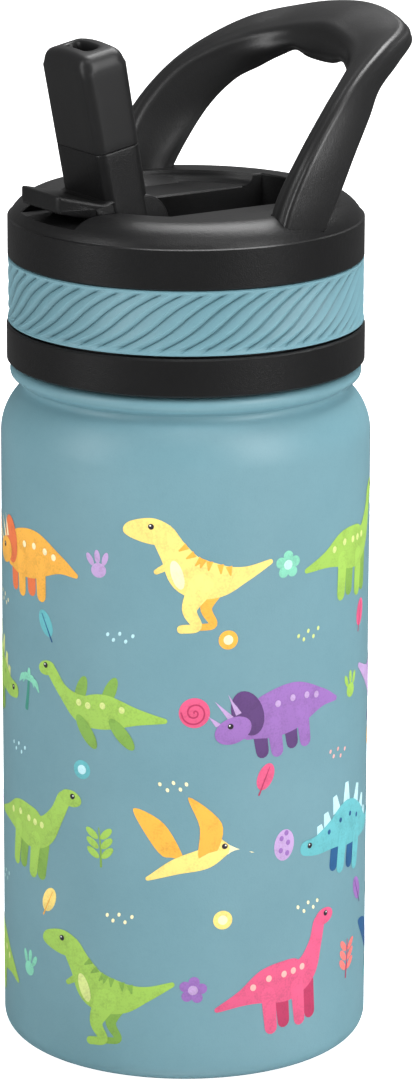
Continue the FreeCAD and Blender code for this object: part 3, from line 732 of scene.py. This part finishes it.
def rounded_rectangle(half_w, y0, y1, radius, height, corner=8, side=7):
    """Ring at one height: four arcs of equal radius joined by evenly divided sides."""
    a = np.linspace(0, np.pi / 2, corner)
    centres = [(half_w - radius, y1 - radius), (-half_w + radius, y1 - radius),
               (-half_w + radius, y0 + radius), (half_w - radius, y0 + radius)]
    points = []
    for turn, (cx, cy) in enumerate(centres):
        angle = a + turn * np.pi / 2
        points.append(np.stack([cx + radius * np.cos(angle), cy + radius * np.sin(angle)], -1))
    ring = []
    share = np.linspace(0, 1, side)[1:-1, None]
    for here, after in zip(points, points[1:] + points[:1]):
        ring += [here, here[-1] + (after[0] - here[-1]) * share]
    flat = np.vstack(ring)
    return np.column_stack([flat, np.full(len(flat), height)])


def spout_section(height, inset=0.0, radius=1.9):
    """Section of the spout: it narrows a little towards the top and its back leans less."""
    t = height / SPOUT_TOP
    front = FRONT_Y + FRONT_SHIFT * t + inset
    back = BACK_Y + BACK_SHIFT * t - inset
    return rounded_rectangle(8.75 - 0.4 * t - inset, front, back, max(radius - inset, 0.3), height)


# %% Hard spout body
def rod_across(radius, half_w, edge=0.6, segments=72):
    """Cylinder along X with rounded ends, drawn about the hinge."""
    side = rounded([(0, -half_w, 0), (radius, -half_w, edge), (radius, half_w, edge), (0, half_w, 0)])
    a = np.linspace(0, 2 * np.pi, segments, endpoint=False)
    r, x = side[:, :1], side[:, 1:]
    return np.stack([x + 0 * a, r * np.cos(a), r * np.sin(a)], -1)


def spout_body():
    """Sections from inside the barrel up to the split, with a fine groove at the joint."""
    heights = [-1.0, 1.0, 2.9, 3.3, 5.0, 8.0, 11.0, 14.0, SPLIT - 0.35]
    rings = [spout_section(h) for h in heights]
    for low in rings[:3]:
        # Below the tab the front stands back, clear of the notch in the cap.
        low[:, 1] = np.maximum(low[:, 1], LOW_FRONT)
    rings += [spout_section(SPLIT - 0.08, 0.03), spout_section(SPLIT, 0.14), spout_section(SPLIT, 1.7)]
    return capped(np.stack(rings))


TAB_SIDE = [(-33.6, 172.1), (-26.6, 170.3), (-24.6, 169.9), (-20.0, 169.9),
            (-20.0, 173.9), (-22.6, 173.9), (-23.8, 173.2), (-33.6, 175.5)]
TAB_ROUNDING = (0.8, 1.5, 1.0, 0.2, 0.2, 0.5, 1.0, 0.9)
TAB_HALF_W = 7.5


def thumb_tab(edge=0.7):
    """Side outline pulled across, its rim rounded: inset = edge (1 - cos a), reach = edge sin a."""
    corners = [(*p, r) for p, r in zip(TAB_SIDE, TAB_ROUNDING)]
    closed = corners[-1:] + corners + corners[:1]
    side = rounded(closed, 5)[1:-1]
    ahead, behind = np.roll(side, -1, axis=0), np.roll(side, 1, axis=0)
    along = ahead - behind
    along /= np.linalg.norm(along, axis=1, keepdims=True) + 1e-12
    inward = np.stack([-along[:, 1], along[:, 0]], -1)
    a = np.linspace(0, np.pi / 2, 6)
    insets = np.concatenate([edge * (1 - np.sin(a)), edge * (1 - np.sin(a[::-1]))])
    reach = np.concatenate([-TAB_HALF_W + edge * (1 - np.cos(a)),
                            TAB_HALF_W - edge * (1 - np.cos(a[::-1]))])
    rings = []
    for inset, x in zip(insets, reach):
        flat = side + inward * inset
        rings.append(np.column_stack([np.full(len(flat), x), flat]))
    cloud = capped(np.stack(rings))
    nose = np.clip((-31.8 - cloud[..., 1]) / 1.8, 0, 1)
    cloud[..., 0] *= 1 - 0.21 * (1 - np.sqrt(1 - nose ** 2))
    root = np.clip((cloud[..., 1] + 27.5) / 4.5, 0, 1)
    cloud[..., 0] *= 1 + 0.15 * root * root * (3 - 2 * root)
    return cloud


barrel = lean_forward(rod_across(BARREL_R, BARREL_HALF_W))
piece("spout_body", [tube(barrel), tube(lean_forward(spout_body())), tube(thumb_tab())],
      [BLACK], "spout", ["spout_base"], sharp=50)

# %% [markdown]
# ## The soft mouthpiece
# The rings climb the outside, roll over a large rounded shoulder, cross the domed top and drop
# into the oblong hole. Each ring on the top is a mix of the outer section and the hole's
# outline, so the whole top is one smooth surface.

# %% Soft mouthpiece
HOLE_HALF_W, HOLE_HALF_D = 4.3, 1.7
DOME = 1.0


def mouthpiece_rings():
    """Outer wall, rolled shoulder, dome and hole wall, as one run of rings."""
    roll_r = 2.6
    start = SPOUT_TOP - roll_r - DOME
    outer = [spout_section(SPLIT + 0.02, 1.6), spout_section(SPLIT + 0.02, 0.14),
             spout_section(SPLIT + 0.10, 0.03)]
    outer += [spout_section(h) for h in np.linspace(SPLIT + 0.3, start, 12)]
    middle = (FRONT_Y + FRONT_SHIFT + BACK_Y + BACK_SHIFT) / 2
    hole = rounded_rectangle(HOLE_HALF_W, middle - HOLE_HALF_D, middle + HOLE_HALF_D,
                             HOLE_HALF_D - 0.05, 0.0)
    edge = outer[-1]
    top = []
    for a in np.radians([15, 30, 45, 60, 75, 90]):
        ring = spout_section(start, roll_r * (1 - math.cos(a)) * 0.8, 2.6)
        ring[:, 2] = start + roll_r * math.sin(a)
        top.append(ring)
    last = top[-1]
    for share in (0.25, 0.5, 0.75, 0.92, 1.0):
        ring = last + (hole - last) * share
        ring[:, 2] = start + roll_r - (0.0 if share < 0.9 else (share - 0.9) * 3)
        top.append(ring)
    for ring in top:
        swell = np.clip((ring[:, 2] - start) / roll_r, 0, 1)
        ring[:, 2] += DOME * swell * (1 - (ring[:, 0] / 8.4) ** 2)
    wall = []
    for drop in (0.8, 2.5, 5.0):
        ring = top[-1].copy()
        ring[:, :2] = (ring[:, :2] - (0, middle)) * 0.94 + (0, middle)
        ring[:, 2] -= drop
        wall.append(ring)
    rings = np.stack(outer + top + wall)
    print("mouthpiece outer edge at", round(float(edge[:, 2].mean()), 1), "mm along the spout")
    return capped(rings)


piece("soft_mouthpiece", [tube(lean_forward(mouthpiece_rings()))],
      [SOFT_BLACK], "spout", ["mouthpiece"], sharp=60)

# %% [markdown]
# ## Printed pictures: the idea
# The pictures are screen-printed on the coat in a few flat inks, one over the other. Here each
# ink is a thin sheet that is cut out, bent round the body and laid a few hundredths of a
# millimetre above the one below. A picture is drawn flat, in millimetres, from three sorts of
# shape: a blob through a few points, an oval, and a ribbon that swells and tapers along a path.
# A Delaunay net fills each shape, with extra points inside so that it bends with the steel.

# %% Flat shapes
INK_LIFT = 0.03
INK_STEP = 0.014
ROOT_SINK = 0.25


def blob(*points, steps=6):
    """Closed smooth outline through a few points."""
    p = np.array(points, float)
    loop = np.concatenate([p[-2:], p, p[:2]])
    return smooth_through(loop, steps)[2 * steps:-2 * steps - 1]


def oval(x, y, half_w, half_h, turn=0, count=26):
    """Ellipse (half_w cos a, half_h sin a), turned by some degrees."""
    a = np.linspace(0, 2 * np.pi, count, endpoint=False)
    return turned_flat(np.stack([half_w * np.cos(a), half_h * np.sin(a)], -1), turn) + (x, y)


def turned_flat(points, degrees):
    """Flat points turned about the origin."""
    c, s = math.cos(math.radians(degrees)), math.sin(math.radians(degrees))
    return points @ np.array([[c, s], [-s, c]])


def path_frame(path, steps=8):
    """Smooth path of (x, y, half width) rows with the sideways direction at every point."""
    p = smooth_through(np.array(path, float), steps)
    along = unit(np.gradient(p[:, :2], axis=0))
    return p, along, np.stack([-along[:, 1], along[:, 0]], -1)


def ribbon(*path, steps=8):
    """Outline of a stroke: the path moved left and right by its half width, with round ends."""
    p, along, left = path_frame(path, steps)
    half = p[:, 2:3]
    a = np.linspace(0, np.pi, 7)[1:-1, None]
    end = p[-1, :2] + half[-1] * (left[-1] * np.cos(a) + along[-1] * np.sin(a))
    start = p[0, :2] - half[0] * (left[0] * np.cos(a) + along[0] * np.sin(a))
    return np.concatenate([p[:, :2] + left * half, end, (p[:, :2] - left * half)[::-1], start])


def fins(path, shares, lengths, base, tip=0.12):
    """Plates or stripes on the left edge of a ribbon; a negative length points inwards."""
    p, along, left = path_frame(path)
    made = []
    for share, length in zip(shares, lengths):
        k = int(round(share * (len(p) - 1)))
        out = left[k]
        root = p[k, :2] + out * (p[k, 2] - (ROOT_SINK if length > 0 else 0.0))
        half = along[k] * base * (0.5 + 0.5 * min(1.0, abs(length) / 3))
        point = root + out * length
        made.append(np.array([root - half, point - along[k] * tip, point + along[k] * tip, root + half]))
    return made


def on_path(path, share, offset=0.0):
    """Point of a path, moved sideways by a share of its half width."""
    p, _, left = path_frame(path)
    k = int(round(share * (len(p) - 1)))
    return p[k, :2] + left[k] * offset * p[k, 2]


def eye(x, y):
    """Plain round eye with a glint."""
    return [[(oval(x, y, 0.55, 0.55, count=14), "night")],
            [(oval(x + 0.15, y + 0.18, 0.16, 0.16, count=10), "chalk")]]


def all_in(colour, *shapes):
    """One layer of several shapes in one ink."""
    return [(shape, colour) for shape in shapes]


# %% [markdown]
# ## Inks
# A small family of inks is repeated all round the bottle, which is what makes a busy pattern
# look calm: soft yellows and limes, four purples, coral and pink, mint and pale blue.

# %% Ink colours
INKS = {
    "chalk": (246, 250, 248), "night": (44, 34, 48), "ice": (190, 232, 240), "deep": (24, 88, 140),
    "lime": (214, 228, 140), "leaf": (158, 200, 82), "moss": (128, 172, 70), "cream": (253, 240, 190),
    "sun": (252, 222, 124), "honey": (246, 178, 62), "ember": (234, 116, 62), "coral": (238, 118, 112),
    "blush": (248, 180, 172), "rose": (224, 84, 128), "berry": (186, 44, 92), "lilac": (190, 158, 208),
    "plum": (150, 104, 180), "grape": (92, 56, 118), "mint": (128, 208, 178), "jade": (58, 146, 128),
    "foam": (192, 234, 226), "teal": (96, 182, 190), "petal": (226, 206, 234),
}


def ink_colour(name):
    """Linear colour of an ink given as ordinary 0 to 255 numbers."""
    c = np.array(INKS[name]) / 255
    return np.where(c <= 0.04045, c / 12.92, ((c + 0.055) / 1.055) ** 2.4)


def build_ink():
    """Ink reads the colour painted on the mesh and breaks it up with the grain of the coat."""
    material, tree, shader = new_material("screen_print_ink")
    paint = place(tree, "ShaderNodeAttribute", attribute_name="ink").outputs["Color"]
    group = place(tree, "ShaderNodeGroup", node_tree=GRAIN)
    fill(tree, group, {"Grain mm": 0.42, "Swell mm": 2.6, "Swell": 0.9})
    height = group.outputs["Height"]
    dry = ramp(tree, height, [(0.62, 0.80), (1.0, 1.0)])
    worn = blend_colour(tree, 1.0, paint, dry, "MULTIPLY")
    join_surface(tree, shader, worn, height, (0.46, 0.58), height, 0.018)
    return material


INK = build_ink()

# %% [markdown]
# ## Animals
# These are plain toy-box animals, one for each common kind: long neck, three horns, plates,
# big jaw, swimmer and glider, all in simple side view. One ribbon makes tail, body and neck,
# short ribbons make the legs, and `fins` sets plates or stripes along the back. Every picture
# is given the same three inks (body, dark, light), so that one loop can draw them all.

# %% Animals: helpers


LEG_HALF_W = 1.5


def legs(ink, *feet):
    """Straight legs from the middle of the body: (x, foot height) pairs."""
    shapes = [ribbon((x, 0.0, LEG_HALF_W), (x, y, LEG_HALF_W * 0.85), steps=4) for x, y in feet]
    return all_in(ink, *shapes)


def spots_on(spine, ink, shares, size=0.6):
    """Round spots along the upper half of a body."""
    shapes = [oval(*on_path(spine, share, 0.35), size, size * 1.1, count=14) for share in shares]
    return all_in(ink, *shapes)


# %% Walking animals


def long_neck(body, dark, light):
    """Walking animal with a long neck and a straight tail."""
    spine = [(-14, -1, 0.5), (-9, 0.5, 1.6), (-4, 1.8, 3.5), (1, 1.8, 4.0), (5, 2.8, 2.9),
             (7.6, 6.8, 1.8), (9, 10.6, 1.6)]
    head = oval(10.6, 11.4, 2.5, 1.6)
    far_legs = legs(dark, (-1, -6), (5.2, -6))
    near_legs = legs(body, (-3.8, -6.6), (2.6, -6.6))
    spots = spots_on(spine, light, (0.25, 0.35, 0.45, 0.55, 0.65))
    return [far_legs, all_in(body, ribbon(*spine), head), near_legs, spots] + eye(11, 11.9)


def three_horn(body, dark, light):
    """Low animal with a round neck shield and three horns."""
    spine = [(-13, -1, 0.5), (-9, 0.6, 1.9), (-3, 1.4, 4.4), (3, 1.0, 4.4), (7, 0.4, 3.0)]
    horns = [np.array([(x, y), (x + 1.1, y - 0.3), (x + reach, y + tall)])
             for x, y, reach, tall in ((10, 2.6, 3, 3.6), (8.4, 3, 2, 4), (12.4, 1.6, 2.2, 2))]
    far_legs = legs(dark, (-1, -5.4), (5.4, -5.4))
    near_legs = legs(body, (-4, -6), (2.4, -6))
    shield = all_in(dark, oval(7.2, 2.6, 3.0, 4.5, -14))
    head = all_in(body, oval(10.4, 0, 3.6, 2.5, -12))
    spots = spots_on(spine, light, (0.3, 0.42, 0.54, 0.66))
    return [far_legs, all_in(body, ribbon(*spine)), near_legs, shield, all_in(light, *horns),
            head, spots] + eye(10.8, 0.9)


def plate_back(body, dark, light):
    """Level-backed animal with a row of plates."""
    spine = [(-14, 3, 0.5), (-9.5, 1, 1.4), (-4, 1.8, 3.6), (1, 2.2, 4.4), (6, 0.4, 2.8),
             (10, -1.2, 1.9), (12.8, -1.6, 1.5)]
    tall = [1.6, 2.6, 3.4, 3.8, 3.4, 2.6, 1.6]
    plates = all_in(light, *fins(spine, np.linspace(0.2, 0.78, 7), tall, 1.3, 0.6))
    far_legs = legs(dark, (-1.4, -5.4), (4.4, -5.4))
    near_legs = legs(body, (-4, -6), (2, -6))
    spots = spots_on(spine, dark, (0.35, 0.46, 0.57, 0.68), 0.45)
    return [plates, far_legs, all_in(body, ribbon(*spine)), near_legs, spots] + eye(12, -1.1)


def big_jaw(body, dark, light):
    """Two-legged animal with a large head and small arms."""
    spine = [(-14, 3, 0.5), (-9, 1, 1.5), (-4, 0, 3.2), (1, 1, 3.8), (4, 5, 2.7), (6, 8.2, 2.3)]
    head = blob((4.4, 9.6), (8, 11.4), (12.6, 10.4), (13.4, 8.2), (9, 6.6), (5, 6.8))
    arm = ribbon((4.6, 3, 0.8), (7.2, 1.4, 0.5))
    leg = [(-1, -1, 2.4), (1, -5.4, 1.4), (-0.4, -8.6, 0.9), (2.4, -9.2, 0.8)]
    far_leg = [(x - 3, y + 0.4, half * 0.8) for x, y, half in leg]
    stripes = all_in(dark, *fins(spine, np.linspace(0.3, 0.8, 7), [-1.8] * 7, 0.8))
    belly = all_in(light, oval(3.4, 1.0, 1.1, 2.8, -18))
    return [all_in(dark, ribbon(*far_leg)), all_in(body, ribbon(*spine), head, arm), stripes,
            all_in(body, ribbon(*leg)), belly] + eye(8.4, 9.8)


# %% Swimming and flying animals


def swimmer(body, dark, light):
    """Swimming animal with four flippers."""
    spine = [(-13, -1, 0.5), (-8, 0, 1.6), (-2, 1, 3.3), (3, 1.4, 2.8), (7, 4.4, 1.4), (9.6, 8, 1.3)]
    head = oval(11, 8.6, 2.3, 1.4, -8)
    far = all_in(dark, oval(-3, 4.6, 1.2, 3.4, 30), oval(3, 4.8, 1.2, 3.2, 24))
    near = all_in(dark, oval(-4.6, -3.2, 1.3, 3.6, -34), oval(2.6, -2.8, 1.3, 3.6, -28))
    spots = spots_on(spine, light, (0.3, 0.42, 0.54, 0.66))
    return [far, all_in(body, ribbon(*spine), head), spots, near] + eye(11.2, 9.1)


def glider(body, dark, light):
    """Flying animal with both wings up."""
    far_wing = blob((-1.5, 0), (-6, 7), (-12, 9), (-8, 3), (-5, 0.4))
    near_wing = blob((1, 1), (0.6, 7), (-2, 12.6), (4.6, 8), (4, 2))
    beak = np.array([(5.6, 4.2), (5.8, 2.0), (11.5, 2.4)])
    trunk = ribbon((-8, -4, 0.4), (-3, -1, 1.5), (2, 1, 2.0), (5, 3, 1.6))
    crest = ribbon((5, 3.6, 1.0), (2.6, 6.2, 0.5))
    return [all_in(dark, far_wing), all_in(light, beak), all_in(body, trunk, crest),
            all_in(dark, near_wing)] + eye(5.6, 3.6)


# %% [markdown]
# ## Small pictures and dots
# Small everyday shapes stand between the animals, and loose dots fill what is left.

# %% Plants


def sprig(body, dark, light):
    """Stem with paired leaves."""
    leaves = [oval(s * 1.9, y, 0.9, 2.0, -s * 50, 16) for s in (-1, 1) for y in (-1.6, 0.8, 3.2)]
    stem = ribbon((0, -5, 0.3), (0.2, 0, 0.25), (0, 4.6, 0.15))
    return [all_in(dark, stem), all_in(body, *leaves)]


def palm(body, dark, light):
    """Trunk with four drooping leaves and an upright one."""
    trunk = ribbon((0.4, -5, 0.7), (0.1, -1, 0.55), (0, 2.6, 0.45))
    leaves = [ribbon((0, 2.6, 0.5), (2.2 * s, 3.6 - abs(s), 0.8), (3.4 * s, 1.8 - abs(s), 0.2))
              for s in (-1.3, -0.7, 0.7, 1.3)]
    return [all_in(dark, trunk), all_in(body, *leaves, oval(0, 3.6, 0.7, 1.7))]


def flower(body, dark, light):
    """Five round petals at equal turns."""
    turns = np.arange(5) * 2 * np.pi / 5
    petals = [oval(2.1 * math.sin(a), 2.1 * math.cos(a), 1.35, 1.35, count=16) for a in turns]
    return [all_in(body, *petals), all_in(light, oval(0, 0, 1.2, 1.2, count=16))]


def leafy(body, dark, light):
    """Single leaf with a midrib."""
    midrib = ribbon((-1.9, -4.4, 0.25), (1.2, 3, 0.1))
    return [all_in(body, oval(0, 0.4, 2.3, 3.8, -24)), all_in(dark, midrib)]


# %% Small things


def egg(body, dark, light):
    """Egg with spots."""
    places = ((-1, 1.6), (1, 0.6), (-0.8, -1.4), (1.1, -2), (0.2, 3))
    spots = [oval(x, y, 0.6, 0.7, count=12) for x, y in places]
    return [all_in(light, oval(0, 0, 2.8, 3.9)), all_in(body, *spots)]


def footprint(body, dark, light):
    """Three toes and a heel."""
    toes = [oval(2.0 * s, 1.9 - abs(s) * 0.6, 0.75, 1.7, -24 * s, 14) for s in (-1, 0, 1)]
    return [all_in(body, oval(0, -1.4, 2.0, 1.8, count=18), *toes)]


def shell(body, dark, light):
    """Disc with a plain spiral, radius = angle / 4."""
    a = np.linspace(0.4, 4 * np.pi, 22)
    spiral = np.stack([0.25 * a * np.cos(a), 0.25 * a * np.sin(a), np.full(22, 0.2)], -1)
    return [all_in(body, oval(0, 0, 3.7, 3.7)), all_in(dark, ribbon(*spiral, steps=3))]


def bead(body, dark, light):
    """Ring round a dot."""
    return [all_in(body, oval(0, 0, 2.6, 2.6)), all_in(light, oval(0, 0, 1.3, 1.3))]


def dots(body, dark, light):
    """Loose group of small dots."""
    places = ((-3, 1), (-1, -0.6), (0.6, 1.4), (2.4, -0.4), (4, 1))
    return [all_in(light, *[oval(x, y, 0.45, 0.6, 20, 10) for x, y in places])]


# %% [markdown]
# ## Printing round the bottle
# A placement says which picture, how far round and how high, and its turn, size and facing.
# "How far round" is a distance along the steel: the angle is that distance over the radius.
# The pictures stand on a brick-like lattice that closes round the bottle, so no side is bare
# and there is no seam. Inks, facing and small shifts come from one seeded shuffle.

# %% Placing the pictures


def inside(points, outline_points):
    """Even-odd test of many points at once: count the edges to the right of each point."""
    x, y = points[:, :1], points[:, 1:]
    ax, ay = outline_points.T
    bx, by = np.roll(outline_points, -1, axis=0).T
    spans = (ay > y) != (by > y)
    slope = (bx - ax) / np.where(by == ay, 1e-12, by - ay)
    return ((x < ax + slope * (y - ay)) & spans).sum(axis=1) % 2 == 1


def net(outline_points, pitch=1.3):
    """Triangles that fill an outline, with a loose grid of extra points inside it."""
    low, high = outline_points.min(axis=0), outline_points.max(axis=0)
    xs = np.arange(low[0] + pitch / 2, high[0], pitch)
    ys = np.arange(low[1] + pitch, high[1], pitch * 2)
    grid = np.stack(np.meshgrid(xs, ys), -1).reshape(-1, 2)
    if len(grid):
        gap = np.linalg.norm(grid[:, None] - outline_points[None], axis=-1).min(axis=1)
        grid = grid[inside(grid, outline_points) & (gap > pitch * 0.3)]
    flat = np.vstack([outline_points, grid])
    count = len(outline_points)
    border = [(i, (i + 1) % count) for i in range(count)]
    found = delaunay_2d_cdt([Vector(p) for p in flat.tolist()], border, [], 1, 1e-6)
    return np.array([tuple(v) for v in found[0]]), found[2]


def wrap(flat, lift):
    """Bend flat points (along, height) onto the body: angle = along / radius."""
    return around(BODY_R + lift, flat[:, 0] / BODY_R, flat[:, 1])


FADE_LOW, FADE_SPAN = 0.93, 0.12


def print_piece(name, placements):
    """All the pictures of one list as one printed piece."""
    points, faces, colours, first = [], [], [], 0
    for layers, along, height, turn, size, facing in placements:
        for depth, layer in enumerate(layers):
            for shape, ink in layer:
                flat = turned_flat(shape * (size * facing, size), turn) + (along, height)
                cloud, triangles = net(flat)
                points.append(wrap(cloud, INK_LIFT + INK_STEP * depth))
                faces += [[first + i for i in t] for t in triangles]
                rise = (cloud[:, 1] - cloud[:, 1].min()) / np.ptp(cloud[:, 1])
                fade = FADE_LOW + FADE_SPAN * rise
                colours.append(np.clip(ink_colour(ink) * fade[:, None], 0, 1))
                first += len(cloud)
    points = np.vstack(points)
    faces = np.array(faces)
    a, b, c = (points[faces[:, k]] for k in range(3))
    inward = (np.cross(b - a, c - a)[:, :2] * a[:, :2]).sum(axis=1) < 0
    faces[inward] = faces[inward][:, ::-1]
    mesh = bpy.data.meshes.new(name)
    mesh.from_pydata(points * MM, [], faces.tolist())
    paint = mesh.attributes.new("ink", "FLOAT_COLOR", "POINT")
    rgba = np.column_stack([np.vstack(colours), np.ones(first)])
    paint.data.foreach_set("color", rgba.astype(np.float32).ravel())
    mesh.materials.append(INK)
    mesh.shade_smooth()
    made = add_object(name, mesh)
    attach(made, "bottle")
    print(f"{name}: {len(placements)} pictures, {len(faces)} triangles")


# %% Lattice of pictures
COLUMNS = 6
ROWS = 4
CELL_WIDTH = 2 * math.pi * BODY_R / COLUMNS
CELL_HEIGHT = 28.5
FIRST_ROW = 19.5
INK_SETS = [("leaf", "moss", "lime"), ("coral", "berry", "blush"), ("lilac", "plum", "petal"),
            ("honey", "ember", "cream"), ("mint", "jade", "foam"), ("plum", "grape", "lilac"),
            ("sun", "honey", "cream"), ("rose", "berry", "blush"), ("teal", "deep", "ice")]
ANIMALS = [long_neck, glider, plate_back, swimmer, three_horn, big_jaw]
SMALL = [sprig, egg, palm, shell, footprint, flower]
FILLERS = [dots, leafy, dots, bead]
chance = random.Random(11)


def lattice(shapes, across, up, rows, size, columns=COLUMNS, shift=1.2):
    """Staggered placements: the kind steps on by two from row to row, the rest is shuffled."""
    made = {shape.__name__: [] for shape in shapes}
    for row in range(rows):
        for column in range(columns):
            shape = shapes[(column + 2 * row) % len(shapes)]
            along = (column + across + 0.5 * (row % 2)) * CELL_WIDTH * COLUMNS / columns
            height = FIRST_ROW + up + CELL_HEIGHT * row
            inks = INK_SETS[chance.randrange(len(INK_SETS))]
            along += chance.uniform(-shift, shift)
            height += chance.uniform(-shift, shift)
            turn = chance.uniform(-9, 9)
            facing = chance.choice((-1, 1))
            made[shape.__name__].append((shape(*inks), along, height, turn, size, facing))
    return made


groups = [lattice(ANIMALS, 0.0, -2.0, ROWS, 1.06, shift=0.5),
          lattice(SMALL, 0.5, 0.0, ROWS, 0.82, shift=0.3),
          lattice(FILLERS, 0.3, CELL_HEIGHT / 2, ROWS - 1, 0.74, COLUMNS * 2)]
for group in groups:
    for kind, placements in group.items():
        print_piece("print_" + kind, placements)
